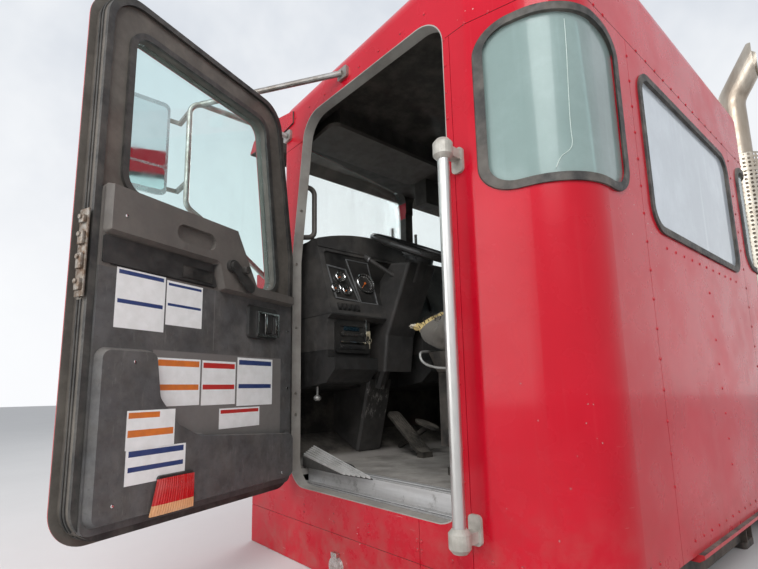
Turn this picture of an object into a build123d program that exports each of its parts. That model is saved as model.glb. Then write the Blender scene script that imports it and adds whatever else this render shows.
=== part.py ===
"""Day cab of a concrete mixer truck, with its driver's door held open.

Millimetres. +Z is up, -Y is forwards and +X is the driver's side. The origin is the
middle of the four cab mounts, on the underside of their feet.
"""
from math import cos, radians, sin, tan
import os

from build123d import *

os.makedirs("parts", exist_ok=True)

# Cab body
cab_width = 1900.0
front_y = -735.0
rear_y = 734.5
wall = 40.0
roof_wall = 45.0
quarter_y = 471.0
quarter_taper = 15.0
corner_radius = 164.0
crease_radius = 60.0
pillar_sweep = 70.0
pillar_front_y = -585.0
pillar_side_y = -490.0
pillar_radius = 35.0
belt_z = 1130.0
seam_z = 1622.0
roof_rear_z = 1925.0
roof_front_z = 1850.0
roof_edge_radius = 85.0
rear_bottom_z = 167.0
rear_flange_drop = 20.0
rear_flange_stand = 14.0
rear_flange_half = 415.0
cowl_shelf = 30.0
floor_top_z = 310.0
floor_thickness = 24.0
toe_board_start_y = -470.0
toe_board_rise = 105.0
seam_x = 532.0
seam_y = 415.0
seam_width = 2.0
seam_depth = 2.0
skirt_seam_z = 142.0
skirt_seam_y = 233.0

# Cab mounts and rails
mount_spacing_x = 820.0
mount_spacing_y = 1200.0
mount_hole_radius = 11.0
foot_size = 120.0
foot_corner = 15.0
foot_thickness = 20.0
rail_width = 80.0
rail_wall = 6.0

# Door opening in the side
opening_front_y = -436.0
opening_rear_y = 391.0
opening_bottom_z = 259.0
opening_top_z = 1722.0
opening_top_front_y = -343.0
opening_corner = 90.0
opening_top_corner = 105.0
jamb_sheet = 3.0
jamb_lip = 16.0

# Door
door_open_angle = 69.0
hinge_stand = 25.0
hinge_y = -458.0
door_gap = 11.0
door_rear_gap = 14.0
skin_thickness = 4.0
skin_stand = 6.0
skin_overlap = 5.0
shell_depth = 36.0
trim_depth = 78.0
trim_sheet = 18.0
trim_margin = 30.0
trim_rear_margin = 32.0
trim_corner = 95.0
trim_taper = 18.0
sill_drop = 3.0
glass_front_y = -331.0
glass_rear_y = 290.0
glass_top_z = 1612.0
glass_low_z = 972.0
glass_step_z = 1147.0
glass_step_front_y = -195.0
glass_step_rear_y = -95.0
glass_top_front_y = -250.0
glass_corner = 48.0
glass_run = 18.0
seal_width = 18.0
seal_depth = 10.0
edge_rib = 3.0
pad_low_z = 925.0
strip_low_z = 934.0
strip_high_z = 1004.0
strip_front_y = -8.0
strip_proud = 4.0
pocket_rear_z = 724.0
pocket_lip_z = 480.0
pocket_turn_y = 36.0
pocket_rear_y = 190.0
hinge_heights = (470.0, 1010.0)
barrel_radius = 13.0
barrel_height = 36.0
pin_radius = 7.0
pin_clearance = 0.05
barrel_gap = 0.5
leaf_thickness = 6.0

# Glass
glass_thickness = 5.0
windshield_bottom_z = 1215.0
windshield_top_z = 1745.0
post_half_width = 28.0
windshield_edge = 115.0
rear_window_half = 450.0
rear_window_bottom_z = 1072.0
rear_window_top_z = 1542.0
corner_window_bottom_z = 1124.0
corner_window_top_z = 1566.0
corner_window_side_y = 513.0
corner_window_rear_x = 642.0
window_corner = 60.0
gasket_width = 22.0
gasket_proud = 6.0
windshield_gasket_width = 14.0
windshield_gasket_proud = 3.0

# Dash, wheel and seats
dash_end_gap = 52.0
dash_top_z = 1240.0
dash_face_top_y = -400.0
dash_face_low_y = -290.0
dash_face_low_z = 905.0
dash_rear_gap = 20.0
dash_lip = 4.0
dash_step = 15.0
dash_knee_y = -270.0
dash_knee_low_z = 690.0
dash_under_y = -330.0
dash_under_z = 640.0
dash_bottom_z = 600.0
binnacle_x = 541.0
binnacle_width = 582.0
binnacle_height = 232.0
binnacle_down = -8.0
binnacle_depth = 12.0
radio_x = 738.0
radio_z = 850.0
glovebox_low_z = 748.0
glovebox_high_z = 880.0
glovebox_face_y = -318.0
glovebox_thickness = 16.0
glovebox_left_x = -330.0
glovebox_right_x = -720.0
glovebox_lip = 10.0
glovebox_depth = 180.0
wheel_centre = (480.0, -160.0, 1195.0)
wheel_tilt = 27.0
wheel_radius = 226.0
rim_radius = 14.0
hub_radius = 68.0
hub_depth = 40.0
wheel_hub_drop = 44.0
spoke_width = 28.0
spoke_depth = 14.0
collar_width = 90.0
collar_length = 90.0
shroud_width = 170.0
shroud_round = 14.0
trunk_width = 146.0
trunk_chamfer = 10.0
tube_radius = 34.0
tube_start = 480.0
tube_length = 160.0
stalk_length = 134.0
leg_recess_half = 160.0
leg_recess_y = -490.0
hood_half = 318.0
hood_rise = 50.0
hood_rear_y = -385.0
hood_length = 120.0
mat_thickness = 6.0
seat_x = 480.0
seat_width = 500.0
cushion_front_y = 0.0
cushion_rear_y = 500.0
cushion_low_z = 735.0
cushion_high_z = 870.0
back_high_z = 1560.0
back_thickness = 120.0
back_set = 40.0
pedestal_y = 240.0
pedestal_low_z = 412.0

# Grab handles behind the doors
handle_stand = 65.0
handle_y = 428.0
handle_low_z = 285.0
handle_high_z = 1212.0
handle_radius = 16.0
casting_height = 56.0
casting_radius = 27.0
casting_round = 11.0
casting_sides = 20
casting_foot = 38.0
casting_foot_height = 72.0
casting_foot_thickness = 8.0

# Mirrors
mirror_stand = 527.0
mirror_y = -660.0
mirror_middle_z = 1565.0
mirror_width = 180.0
mirror_height = 390.0
mirror_depth = 46.0
mirror_glass_border = 10.0
mirror_glass_thickness = 3.0
mirror_arm_radius = 11.0
mirror_mast_stand = 380.0
mirror_mast_y = -600.0
mirror_top_z = 1772.0
mirror_bottom_z = 1325.0
mirror_knee_stand = 159.0
mirror_knee_z = 1188.0
strut_anchor_y = -80.0
arm_foot = 10.0

# Exhaust stack beside the right rear quarter
stack_stand = 155.0
stack_y = 672.0
stack_radius = 63.5
shield_radius = 100.0
stack_low_z = 420.0
shield_low_z = 700.0
shield_high_z = 1775.0
stack_bend_z = 2110.0
stack_tip_run = 150.0
stack_tip_rise = 240.0
stack_tip_cut = 127.0
stack_bend = 150.0
pipe_wall = 3.0
bracket_reach = 100.0
bracket_width = 50.0
bracket_thickness = 8.0
bracket_offset = 37.0
lower_bracket_z = 850.0
upper_bracket_z = 1682.0

# Visor over the windshield
visor_front_y = -820.0
visor_low_z = 1745.0
visor_lip_run = 40.0
visor_lip_rise = 50.0
visor_rise = 70.0
visor_thickness = 4.0
visor_plate = 6.0

# Clearance of a piece from what it is seated on, and the sides of a bent rod's section
seat_gap = 0.3
rod_sides = 12

side_x = cab_width / 2
inner_x = side_x - wall
hinge_x = side_x + hinge_stand
handle_x = side_x + handle_stand
shell_inner_x = side_x - shell_depth
trim_inner_x = side_x - trim_depth
windshield_edge_x = side_x - windshield_edge
mirror_x = side_x + mirror_stand
mirror_mast_x = side_x + mirror_mast_stand
stack_x = -side_x - stack_stand
dash_half = inner_x - dash_end_gap
taper_run = (rear_y - quarter_y) * tan(radians(quarter_taper))
upper_plan = (
    (0.0, front_y),
    (side_x - pillar_sweep, pillar_front_y),
    (side_x, pillar_side_y),
    (side_x, quarter_y),
    (side_x - taper_run, rear_y),
    (-side_x + taper_run, rear_y),
    (-side_x, quarter_y),
    (-side_x, pillar_side_y),
    (-side_x + pillar_sweep, pillar_front_y),
)


def plan(inset):
    """The cab's outline above the belt, seen from above and drawn in by inset."""
    with BuildSketch() as outline:
        with BuildLine():
            Polyline(*upper_plan, close=True)
        make_face()
        corners = outline.vertices()
        fillet(corners.filter_by(lambda v: abs(v.Y - rear_y) < 1), corner_radius)
        corners = outline.vertices()
        fillet(corners.filter_by(lambda v: abs(v.Y - quarter_y) < 1), crease_radius)
        corners = outline.vertices()
        fillet(corners.filter_by(lambda v: v.Y < 0 and abs(v.X) > 1), pillar_radius)
        if inset:
            offset(amount=-inset)
    return outline.sketch


def roof_solid(inset):
    """The roof above the seam as a solid block, drawn in by inset on every face."""
    with BuildPart() as block:
        with BuildSketch(Plane.XY.offset(seam_z)):
            add(plan(inset))
        extrude(amount=roof_rear_z - seam_z + 50)
        with BuildSketch(Plane.YZ):
            with BuildLine():
                Polyline(
                    (front_y, roof_front_z - inset),
                    (rear_y, roof_rear_z - inset),
                    (rear_y, roof_rear_z + 200),
                    (front_y, roof_rear_z + 200),
                    close=True,
                )
            make_face()
        extrude(amount=cab_width, both=True, mode=Mode.SUBTRACT)
        top = block.faces().sort_by(Axis.Z)[-1]
        fillet(top.edges(), roof_edge_radius - inset)
    return block.part


def window_prism(plane, width, height, corner, depth):
    """A rounded block that cuts a window, centred on the plane given."""
    with BuildPart() as prism:
        with BuildSketch(plane):
            RectangleRounded(width, height, corner)
        extrude(amount=depth, both=True)
    return prism.part


def door_outline(plane, margin, rear_margin):
    """The door opening's outline on a plane facing the door, drawn in by the margins."""
    rake = (opening_top_front_y - opening_front_y) / (opening_top_z - belt_z)
    low_z = opening_bottom_z + margin
    top_z = opening_top_z - margin
    with BuildSketch(plane) as outline:
        with BuildLine():
            Polyline(
                (opening_front_y + margin, low_z),
                (opening_rear_y - rear_margin, low_z),
                (opening_rear_y - rear_margin, top_z),
                (opening_front_y + margin + rake * (top_z - belt_z), top_z),
                (opening_front_y + margin, belt_z),
                close=True,
            )
        make_face()
        lower = outline.vertices().filter_by(lambda v: v.Y < low_z + 1)
        fillet(lower, opening_corner - margin / 2)
        upper = outline.vertices().filter_by(lambda v: v.Y > top_z - 1)
        fillet(upper, opening_top_corner - margin / 2)
    return outline.sketch


def glass_outline(plane, margin):
    """The door's window, with the sill that steps down in front, drawn in by a margin."""
    with BuildSketch(plane) as outline:
        with BuildLine():
            Polyline(
                (glass_front_y, glass_low_z),
                (glass_step_front_y, glass_low_z),
                (glass_step_rear_y, glass_step_z),
                (glass_rear_y, glass_step_z),
                (glass_rear_y, glass_top_z),
                (glass_top_front_y, glass_top_z),
                close=True,
            )
        make_face()
        fillet(outline.vertices(), glass_corner)
        if margin:
            offset(amount=-margin)
    return outline.sketch


def side_outline(plane, corners, radius):
    """A closed outline with rounded corners, on a plane facing the door."""
    with BuildSketch(plane) as outline:
        with BuildLine():
            Polyline(*corners, close=True)
        make_face()
        fillet(outline.vertices(), radius)
    return outline.sketch


def block(low_x, low_y, low_z, high_x, high_y, high_z):
    """A plain box between two corners, used as a cutter or a limit."""
    size = (high_x - low_x, high_y - low_y, high_z - low_z)
    middle = ((high_x + low_x) / 2, (high_y + low_y) / 2, (high_z + low_z) / 2)
    with BuildPart() as cutter:
        with Locations(middle):
            Box(*size)
    return cutter.part


def write(piece, name):
    """Label a finished piece and write its file."""
    piece.label = name
    export_step(piece, f"parts/{name}.step")


# Cutters shared by the walls and the glass
with BuildPart() as door_cut:
    extrude(door_outline(Plane.YZ, 0, 0), amount=cab_width, both=True)
door_hole = door_cut.part

pane_width = windshield_edge_x - post_half_width
pane_middle_x = (windshield_edge_x + post_half_width) / 2
windshield_middle_z = (windshield_bottom_z + windshield_top_z) / 2
windshield_height = windshield_top_z - windshield_bottom_z


def windshield_plane(side):
    """The upright plane that one windshield pane's outline is drawn on."""
    middle = (side * pane_middle_x, front_y, windshield_middle_z)
    return Plane(origin=middle, x_dir=(1, 0, 0), z_dir=(0, 1, 0))


rear_window_middle_z = (rear_window_bottom_z + rear_window_top_z) / 2
rear_plane = Plane(origin=(0, rear_y, rear_window_middle_z), x_dir=(1, 0, 0), z_dir=(0, 1, 0))
rear_window_size = (2 * rear_window_half, rear_window_top_z - rear_window_bottom_z)

# A corner window runs from the quarter panel round onto the rear wall
corner_side_x = side_x - (corner_window_side_y - quarter_y) * tan(radians(quarter_taper))
corner_run_x = corner_side_x - corner_window_rear_x
corner_run_y = rear_y - corner_window_side_y
corner_size = (
    (corner_run_x**2 + corner_run_y**2) ** 0.5,
    corner_window_top_z - corner_window_bottom_z,
)
corner_middle_z = (corner_window_top_z + corner_window_bottom_z) / 2


def corner_plane(side):
    """The slanting upright plane that a corner window's outline is drawn on."""
    middle = (
        side * (corner_side_x + corner_window_rear_x) / 2,
        (corner_window_side_y + rear_y) / 2,
        corner_middle_z,
    )
    across = (-side * corner_run_x, corner_run_y, 0)
    return Plane(origin=middle, x_dir=across, z_dir=(side * corner_run_y, corner_run_x, 0))


# Each window: its plane, width, height and how deep its cutter reaches
windows = {
    "windshield": [(windshield_plane(s), pane_width, windshield_height, 300) for s in (-1, 1)],
    "rear": [(rear_plane, *rear_window_size, 100)],
    "corner": [(corner_plane(s), *corner_size, 220) for s in (-1, 1)],
}


def window_cutters(name, grow):
    """The blocks that cut a window, grown all round by the amount given."""
    return [
        window_prism(plane, width + 2 * grow, height + 2 * grow, window_corner + grow, depth)
        for plane, width, height, depth in windows[name]
    ]


def ring(inner, outer, low_z, high_z):
    """An upright shell that follows the cab's outline between two insets."""
    with BuildPart() as shell:
        with BuildSketch(Plane.XY.offset(low_z)):
            add(plan(outer))
            add(plan(inner), mode=Mode.SUBTRACT)
        extrude(amount=high_z - low_z)
    return shell.part


walls = ring(wall, 0, 0, seam_z)
with BuildPart() as lip_hole_part:
    extrude(door_outline(Plane.YZ, -jamb_lip, -jamb_lip), amount=inner_x, both=True)
lip_hole = lip_hole_part.part
windshield_holes = window_cutters("windshield", 0)
corner_holes = window_cutters("corner", 0)

with BuildPart() as roof:
    add(roof_solid(0))
    add(roof_solid(roof_wall), mode=Mode.SUBTRACT)
    add(door_hole, mode=Mode.SUBTRACT)
    add(windshield_holes, mode=Mode.SUBTRACT)
    add(lip_hole, mode=Mode.SUBTRACT)
    add(ring(seam_depth, -1, seam_z, seam_z + seam_width), mode=Mode.SUBTRACT)
write(roof.part, "roof")

with BuildPart() as windshield_frame:
    add(walls)
    add(block(-side_x, front_y, belt_z, side_x, 0, seam_z), mode=Mode.INTERSECT)
    add(door_hole, mode=Mode.SUBTRACT)
    add(windshield_holes, mode=Mode.SUBTRACT)
write(windshield_frame.part, "windshield_frame")

with BuildPart() as rear_wall:
    add(walls)
    add(block(-seam_x, 0, rear_bottom_z, seam_x, rear_y, seam_z), mode=Mode.INTERSECT)
    add(window_cutters("rear", 0), mode=Mode.SUBTRACT)
    for low_x in (-seam_x, seam_x - seam_width):
        high_x = low_x + seam_width
        add(block(low_x, rear_y - seam_depth, 0, high_x, rear_y, seam_z), mode=Mode.SUBTRACT)
    flange_low_z = rear_bottom_z - rear_flange_drop
    with BuildSketch(Plane.YZ.offset(-rear_flange_half)):
        with BuildLine():
            Polyline(
                (rear_y - wall, rear_bottom_z),
                (rear_y - wall, flange_low_z),
                (rear_y, flange_low_z),
                (rear_y + rear_flange_stand, (flange_low_z + rear_bottom_z) / 2),
                (rear_y + rear_flange_stand, rear_bottom_z),
                close=True,
            )
        make_face()
    extrude(amount=2 * rear_flange_half)
write(rear_wall.part, "rear_wall")

with BuildPart() as quarter_panels:
    add(walls)
    add(block(-side_x, seam_y, 0, side_x, rear_y, seam_z), mode=Mode.INTERSECT)
    add(block(-seam_x, seam_y, 0, seam_x, rear_y, seam_z), mode=Mode.SUBTRACT)
    add(block(-side_x, rear_y - wall - 1, 0, side_x, rear_y, rear_bottom_z), mode=Mode.SUBTRACT)
    add(corner_holes, mode=Mode.SUBTRACT)
write(quarter_panels.part, "quarter_panels")

# Shallow grooves part the side panel from the quarter, and the skirt from the panel
with BuildPart() as side_panels:
    for low_x, high_x in ((inner_x, side_x), (-side_x, -inner_x)):
        add(block(low_x, front_y, 0, high_x, seam_y, belt_z))
        add(block(low_x, 0, belt_z, high_x, seam_y, seam_z))
    add(door_hole, mode=Mode.SUBTRACT)
    for low_x in (-side_x, side_x - seam_depth):
        high_x = low_x + seam_depth
        grooves = (
            block(low_x, seam_y - seam_width, 0, high_x, seam_y, seam_z),
            block(low_x, front_y, skirt_seam_z, high_x, seam_y, skirt_seam_z + seam_width),
            block(low_x, skirt_seam_y, 0, high_x, skirt_seam_y + seam_width, opening_bottom_z),
        )
        for groove in grooves:
            add(groove, mode=Mode.SUBTRACT)
write(side_panels.part, "side_panels")

# Pressed liners of the doorways, with a lip on the inside that the door's rubber meets
with BuildPart() as door_jambs:
    for side in (-1, 1):
        low_x = min(side * inner_x, side * side_x)
        extrude(door_outline(Plane.YZ.offset(low_x), 0, 0), amount=wall)
        lip_x = side * inner_x if side < 0 else inner_x - jamb_sheet
        extrude(door_outline(Plane.YZ.offset(lip_x), -jamb_lip, -jamb_lip), amount=jamb_sheet)
    extrude(door_outline(Plane.YZ, jamb_sheet, jamb_sheet), amount=cab_width, both=True,
            mode=Mode.SUBTRACT)
write(door_jambs.part, "door_jambs")

# Cowl: the wall below the windshield, with the shelf that the windshield stands on
shelf_low_z = belt_z - cowl_shelf
shelf_rear_y = pillar_front_y + wall
with BuildPart() as cowl:
    add(block(-inner_x, front_y, 0, inner_x, front_y + wall, belt_z))
    add(block(-inner_x, front_y + wall, shelf_low_z, inner_x, shelf_rear_y, belt_z))
write(cowl.part, "cowl")

# Floor with its sloping toe board, cut back for a step inside each doorway, and the rails
sill_step = 52.0
sill_thickness = 5.0
step_x = inner_x - sill_step
with BuildPart() as floor_pan:
    floor_low_z = floor_top_z - floor_thickness
    with BuildSketch(Plane.XY.offset(floor_low_z)):
        add(plan(wall))
    extrude(amount=floor_thickness)
    add(block(-inner_x, front_y, floor_low_z, inner_x, 0, floor_top_z), mode=Mode.SUBTRACT)
    add(block(-inner_x, front_y + wall, floor_low_z, inner_x, 0, floor_top_z))
    with BuildSketch(Plane.YZ):
        with BuildLine():
            Polyline(
                (front_y + wall, floor_top_z),
                (toe_board_start_y, floor_top_z),
                (front_y + wall, floor_top_z + toe_board_rise),
                close=True,
            )
        make_face()
    extrude(amount=inner_x, both=True)
    for low_x, high_x in ((-inner_x - 1, -step_x + sill_thickness), (step_x - sill_thickness, inner_x + 1)):
        add(
            block(low_x, opening_front_y - jamb_lip, 0, high_x, opening_rear_y + jamb_lip, belt_z),
            mode=Mode.SUBTRACT,
        )
write(floor_pan.part, "floor_pan")

rail_height = floor_low_z - foot_thickness
rail_middle_z = (floor_low_z + foot_thickness) / 2
rail_length = mount_spacing_y + foot_size
with BuildPart() as mount_rails:
    with Locations((0, 0, rail_middle_z)):
        with GridLocations(mount_spacing_x, 0, 2, 1):
            Box(rail_width, rail_length, rail_height)
            Box(rail_width - 2 * rail_wall, rail_length + 2, rail_height - 2 * rail_wall,
                mode=Mode.SUBTRACT)
        with GridLocations(0, mount_spacing_y / 2, 1, 3):
            Box(mount_spacing_x - rail_width, rail_width, rail_height)
    with BuildSketch(Plane.XY):
        with GridLocations(mount_spacing_x, mount_spacing_y, 2, 2):
            RectangleRounded(foot_size, foot_size, foot_corner)
    extrude(amount=foot_thickness)
    with BuildSketch(Plane.XY):
        with GridLocations(mount_spacing_x, mount_spacing_y, 2, 2):
            Circle(mount_hole_radius)
    extrude(amount=foot_thickness + rail_wall, mode=Mode.SUBTRACT)
write(mount_rails.part, "mount_rails")

# Glass follows the walls
glass_inset = 5.0
panes = ring(glass_inset + glass_thickness, glass_inset, belt_z - 100, roof_rear_z)
for name, file_name in (("windshield", "windshield_glass"), ("rear", "rear_glass"),
                        ("corner", "corner_glass")):
    with BuildPart() as pane:
        add(panes)
        add(window_cutters(name, 0), mode=Mode.INTERSECT)
    write(pane.part, file_name)

# Rubber round the fixed windows stands proud of the wall
gasket_shell = ring(0, -gasket_proud, belt_z - 100, seam_z)
windshield_gasket_shell = ring(0, -windshield_gasket_proud, belt_z, roof_front_z)
with BuildPart() as windshield_gaskets:
    add(windshield_gasket_shell)
    add(window_cutters("windshield", windshield_gasket_width), mode=Mode.INTERSECT)
    add(windshield_holes, mode=Mode.SUBTRACT)
with BuildPart() as window_gaskets:
    add(gasket_shell)
    add(window_cutters("rear", gasket_width) + window_cutters("corner", gasket_width),
        mode=Mode.INTERSECT)
    add(window_cutters("rear", 0) + window_cutters("corner", 0), mode=Mode.SUBTRACT)
    add(windshield_gaskets.part)
write(window_gaskets.part, "window_gaskets")

# Doors, modelled shut on the driver's side, with the driver's one then swung open
skin_inner_x = side_x + skin_stand
skin_outer_x = skin_inner_x + skin_thickness
door_parts = {}

with BuildPart() as door_shell:
    extrude(door_outline(Plane.YZ.offset(shell_inner_x), door_gap, door_rear_gap),
            amount=skin_inner_x - shell_inner_x)
    extrude(door_outline(Plane.YZ.offset(skin_inner_x), -skin_overlap, -skin_overlap),
            amount=skin_thickness)
    extrude(glass_outline(Plane.YZ, 0), amount=cab_width, mode=Mode.SUBTRACT)
door_parts["door_shell"] = door_shell.part

with BuildPart() as door_glass:
    extrude(glass_outline(Plane.YZ.offset((shell_inner_x + skin_inner_x) / 2), 0),
            amount=glass_thickness)
door_parts["door_glass"] = door_glass.part

# The trim fills the inner side below the glass: a sheet, an upper pad with its pull, and
# a moulded map pocket
trim_front_y = opening_front_y + trim_margin
trim_rear_y = opening_rear_y - trim_rear_margin
trim_low_z = opening_bottom_z + door_gap + seal_width + seat_gap
trim_high_z = glass_step_z - sill_drop
trim_step_z = glass_low_z - sill_drop
sheet_inner_x = shell_inner_x - trim_sheet
pad_depth = sheet_inner_x - trim_inner_x
sheet_outline = (
    (trim_front_y, trim_low_z),
    (trim_rear_y, trim_low_z),
    (trim_rear_y, trim_high_z),
    (glass_step_rear_y, trim_high_z),
    (glass_step_front_y, trim_step_z),
    (trim_front_y, trim_step_z),
)
pad_outline = (
    (trim_front_y + 6, pad_low_z),
    (strip_front_y - 26, pad_low_z),
    (strip_front_y, strip_high_z + 4),
    (trim_rear_y - 4, strip_high_z + 4),
    (trim_rear_y - 4, trim_high_z - 2),
    (glass_step_rear_y + 2, trim_high_z - 2),
    (glass_step_front_y + 2, trim_step_z - 1),
    (trim_front_y + 6, trim_step_z - 1),
)
pocket_outline = (
    (trim_front_y + 6, trim_low_z + 16),
    (trim_rear_y - 4, trim_low_z + 16),
    (trim_rear_y - 4, pocket_rear_z),
    (pocket_rear_y, pocket_rear_z),
    (pocket_rear_y - 18, pocket_lip_z + 120),
    (pocket_rear_y - 80, pocket_lip_z + 50),
    (pocket_turn_y, pocket_lip_z + 15),
    (trim_front_y + 6, pocket_lip_z - 15),
)
inward = (-1, 0, 0)
sheet_plane = Plane.YZ.offset(sheet_inner_x)
pull_centre = (78, 1066)
pull_depth = 16.0
pocket_wall = 7.0
with BuildPart() as door_trim:
    extrude(side_outline(sheet_plane, sheet_outline, glass_corner / 2), amount=trim_sheet)
    for raised, corner in ((pad_outline, 10), (pocket_outline, 30)):
        extrude(side_outline(sheet_plane, raised, corner), amount=pad_depth, dir=inward,
                taper=trim_taper)
    with BuildSketch(Plane.YZ.offset(trim_inner_x)):
        with Locations(pull_centre):
            SlotOverall(146, 52)
    extrude(amount=pull_depth, mode=Mode.SUBTRACT)
    pocket_x = trim_inner_x + pocket_wall
    add(
        block(pocket_x, trim_front_y + 28, trim_low_z + 60, sheet_inner_x,
              pocket_turn_y - 20, pocket_rear_z),
        mode=Mode.SUBTRACT,
    )
door_parts["door_trim"] = door_trim.part

# Rubbers: a bead round the inner face, two ribs round the edge and the run of the glass
latch_y = opening_rear_y - door_rear_gap
latch_z = 953.0
latch_plate = 230.0
with BuildPart() as door_seals:
    bead_x = shell_inner_x - seal_depth
    extrude(door_outline(Plane.YZ.offset(bead_x), door_gap, door_rear_gap), amount=seal_depth)
    inner_margins = (door_gap + seal_width, door_rear_gap + seal_width)
    extrude(door_outline(Plane.YZ.offset(bead_x), *inner_margins), amount=seal_depth,
            mode=Mode.SUBTRACT)
    for rib_x in (shell_inner_x + seal_depth, skin_inner_x - 2 * seal_depth):
        rib_plane = Plane.YZ.offset(rib_x)
        extrude(door_outline(rib_plane, door_gap - edge_rib, door_rear_gap - edge_rib),
                amount=seal_depth / 2)
        extrude(door_outline(rib_plane, door_gap, door_rear_gap), amount=seal_depth / 2,
                mode=Mode.SUBTRACT)
    extrude(glass_outline(Plane.YZ.offset(bead_x), -glass_run), amount=seal_depth)
    extrude(glass_outline(Plane.YZ, 0), amount=cab_width, mode=Mode.SUBTRACT)
    add(
        block(0, trim_front_y - seat_gap, trim_low_z, side_x, trim_rear_y + seat_gap,
              trim_step_z + seat_gap),
        mode=Mode.SUBTRACT,
    )
    add(
        block(0, glass_step_front_y - glass_corner / 2, trim_step_z, side_x, trim_rear_y + seat_gap,
              trim_high_z + seat_gap),
        mode=Mode.SUBTRACT,
    )
    latch_half = latch_plate / 2 + seat_gap
    add(
        block(shell_inner_x, latch_y - door_gap, latch_z - latch_half, side_x,
              latch_y + door_gap, latch_z + latch_half),
        mode=Mode.SUBTRACT,
    )
door_parts["door_seals"] = door_seals.part

# Strip under the pad, release bezel, window crank and the reflector low at the back
release_centre = (-238, 846)
crank_hub = (-62, 1008)
crank_knob = (-132, 950)
reflector_centre = (122, 354)
with BuildPart() as door_fittings:
    strip_outline = (
        (strip_front_y - 16, strip_low_z),
        (trim_rear_y - 6, strip_low_z),
        (trim_rear_y - 6, strip_high_z),
        (strip_front_y + 8, strip_high_z),
    )
    extrude(side_outline(sheet_plane, strip_outline, 5), amount=strip_proud, dir=inward)
    with BuildSketch(sheet_plane):
        with Locations(release_centre):
            RectangleRounded(150, 116, 16)
    extrude(amount=10, dir=inward, taper=trim_taper)
    with BuildSketch(sheet_plane.offset(-10)):
        with Locations((release_centre[0] - 8, release_centre[1])):
            RectangleRounded(84, 70, 10)
    extrude(amount=7, mode=Mode.SUBTRACT)
    with BuildSketch(sheet_plane.offset(-3)):
        with Locations((release_centre[0] - 28, release_centre[1])):
            RectangleRounded(30, 64, 6)
    extrude(amount=9, dir=inward)
    pad_plane = Plane.YZ.offset(trim_inner_x)
    with BuildSketch(pad_plane):
        with Locations(crank_hub):
            Circle(20)
    extrude(amount=14, dir=inward)
    crank_plane = pad_plane.offset(-14)
    with BuildSketch(crank_plane) as crank_sketch:
        with Locations(crank_hub):
            Circle(15)
        with Locations(crank_knob):
            Circle(19)
        make_hull()
    extrude(amount=9, dir=inward)
    with BuildSketch(pad_plane):
        with Locations(reflector_centre):
            RectangleRounded(118, 92, 8)
    extrude(amount=7, dir=inward, taper=trim_taper)
door_parts["door_fittings"] = door_fittings.part

# Latch on the free edge, and the outside handle in its dished plate
latch_x = (shell_inner_x + skin_inner_x) / 2
with BuildPart() as door_lock:
    latch_plane = Plane.XZ.offset(-latch_y)
    with BuildSketch(latch_plane):
        with Locations((latch_x, latch_z)):
            Rectangle(20, latch_plate)
    extrude(amount=-2)
    with BuildSketch(latch_plane):
        with Locations((latch_x, latch_z + 46), (latch_x, latch_z - 8), (latch_x, latch_z - 60)):
            Rectangle(13, 30)
    extrude(amount=-6)
    with BuildSketch(Plane.YZ.offset(skin_outer_x)):
        with Locations((300, 930)):
            RectangleRounded(170, 60, 18)
    extrude(amount=5, taper=trim_taper)
    with BuildSketch(Plane.YZ.offset(skin_outer_x + 5)):
        with Locations((310, 930)):
            RectangleRounded(110, 34, 12)
    extrude(amount=17, taper=trim_taper)
door_parts["door_lock"] = door_lock.part

door_barrel = barrel_height - 2 * barrel_gap
with BuildPart() as door_hinge:
    for height in hinge_heights:
        with Locations((hinge_x, hinge_y, height)):
            Cylinder(barrel_radius, door_barrel)
        with Locations((skin_outer_x + leaf_thickness / 2, hinge_y + 62, height)):
            Box(leaf_thickness, 100, door_barrel + 30)
        with Locations((skin_outer_x + leaf_thickness, hinge_y + 14, height)):
            Box(2 * leaf_thickness, 20, door_barrel)
    for height in hinge_heights:
        with Locations((hinge_x, hinge_y, height)):
            Cylinder(pin_radius + pin_clearance, barrel_height + 60, mode=Mode.SUBTRACT)
door_parts["door_hinge"] = door_hinge.part

hinge_axis = Axis((hinge_x, hinge_y, 0), (0, 0, 1))
for name, piece in door_parts.items():
    write(piece.rotate(hinge_axis, -door_open_angle), f"{name}_left")
    write(piece.mirror(Plane.YZ), f"{name}_right")

# Hinge barrels and pins on the pillars
with BuildPart() as pillar_hinges:
    for side in (-1, 1):
        for height in hinge_heights:
            for end in (-1, 1):
                barrel_z = height + end * barrel_height
                with Locations((side * hinge_x, hinge_y, barrel_z)):
                    Cylinder(barrel_radius, barrel_height)
                with Locations((side * (side_x + hinge_x) / 2, hinge_y - 8, barrel_z)):
                    Box(hinge_x - side_x, 10, barrel_height)
            with Locations((side * hinge_x, hinge_y, height)):
                Cylinder(pin_radius, 3 * barrel_height)
            with Locations((side * (side_x + leaf_thickness / 2), hinge_y - 45, height)):
                Box(leaf_thickness, 84, 3 * barrel_height)
write(pillar_hinges.part, "pillar_hinges")

# Grab handles behind the doors, each in two cast feet
with BuildPart() as grab_handles:
    for side in (-1, 1):
        with Locations((side * handle_x, handle_y, (handle_low_z + handle_high_z) / 2)):
            Cylinder(handle_radius, handle_high_z - handle_low_z)
write(grab_handles.part, "grab_handles")

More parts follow.
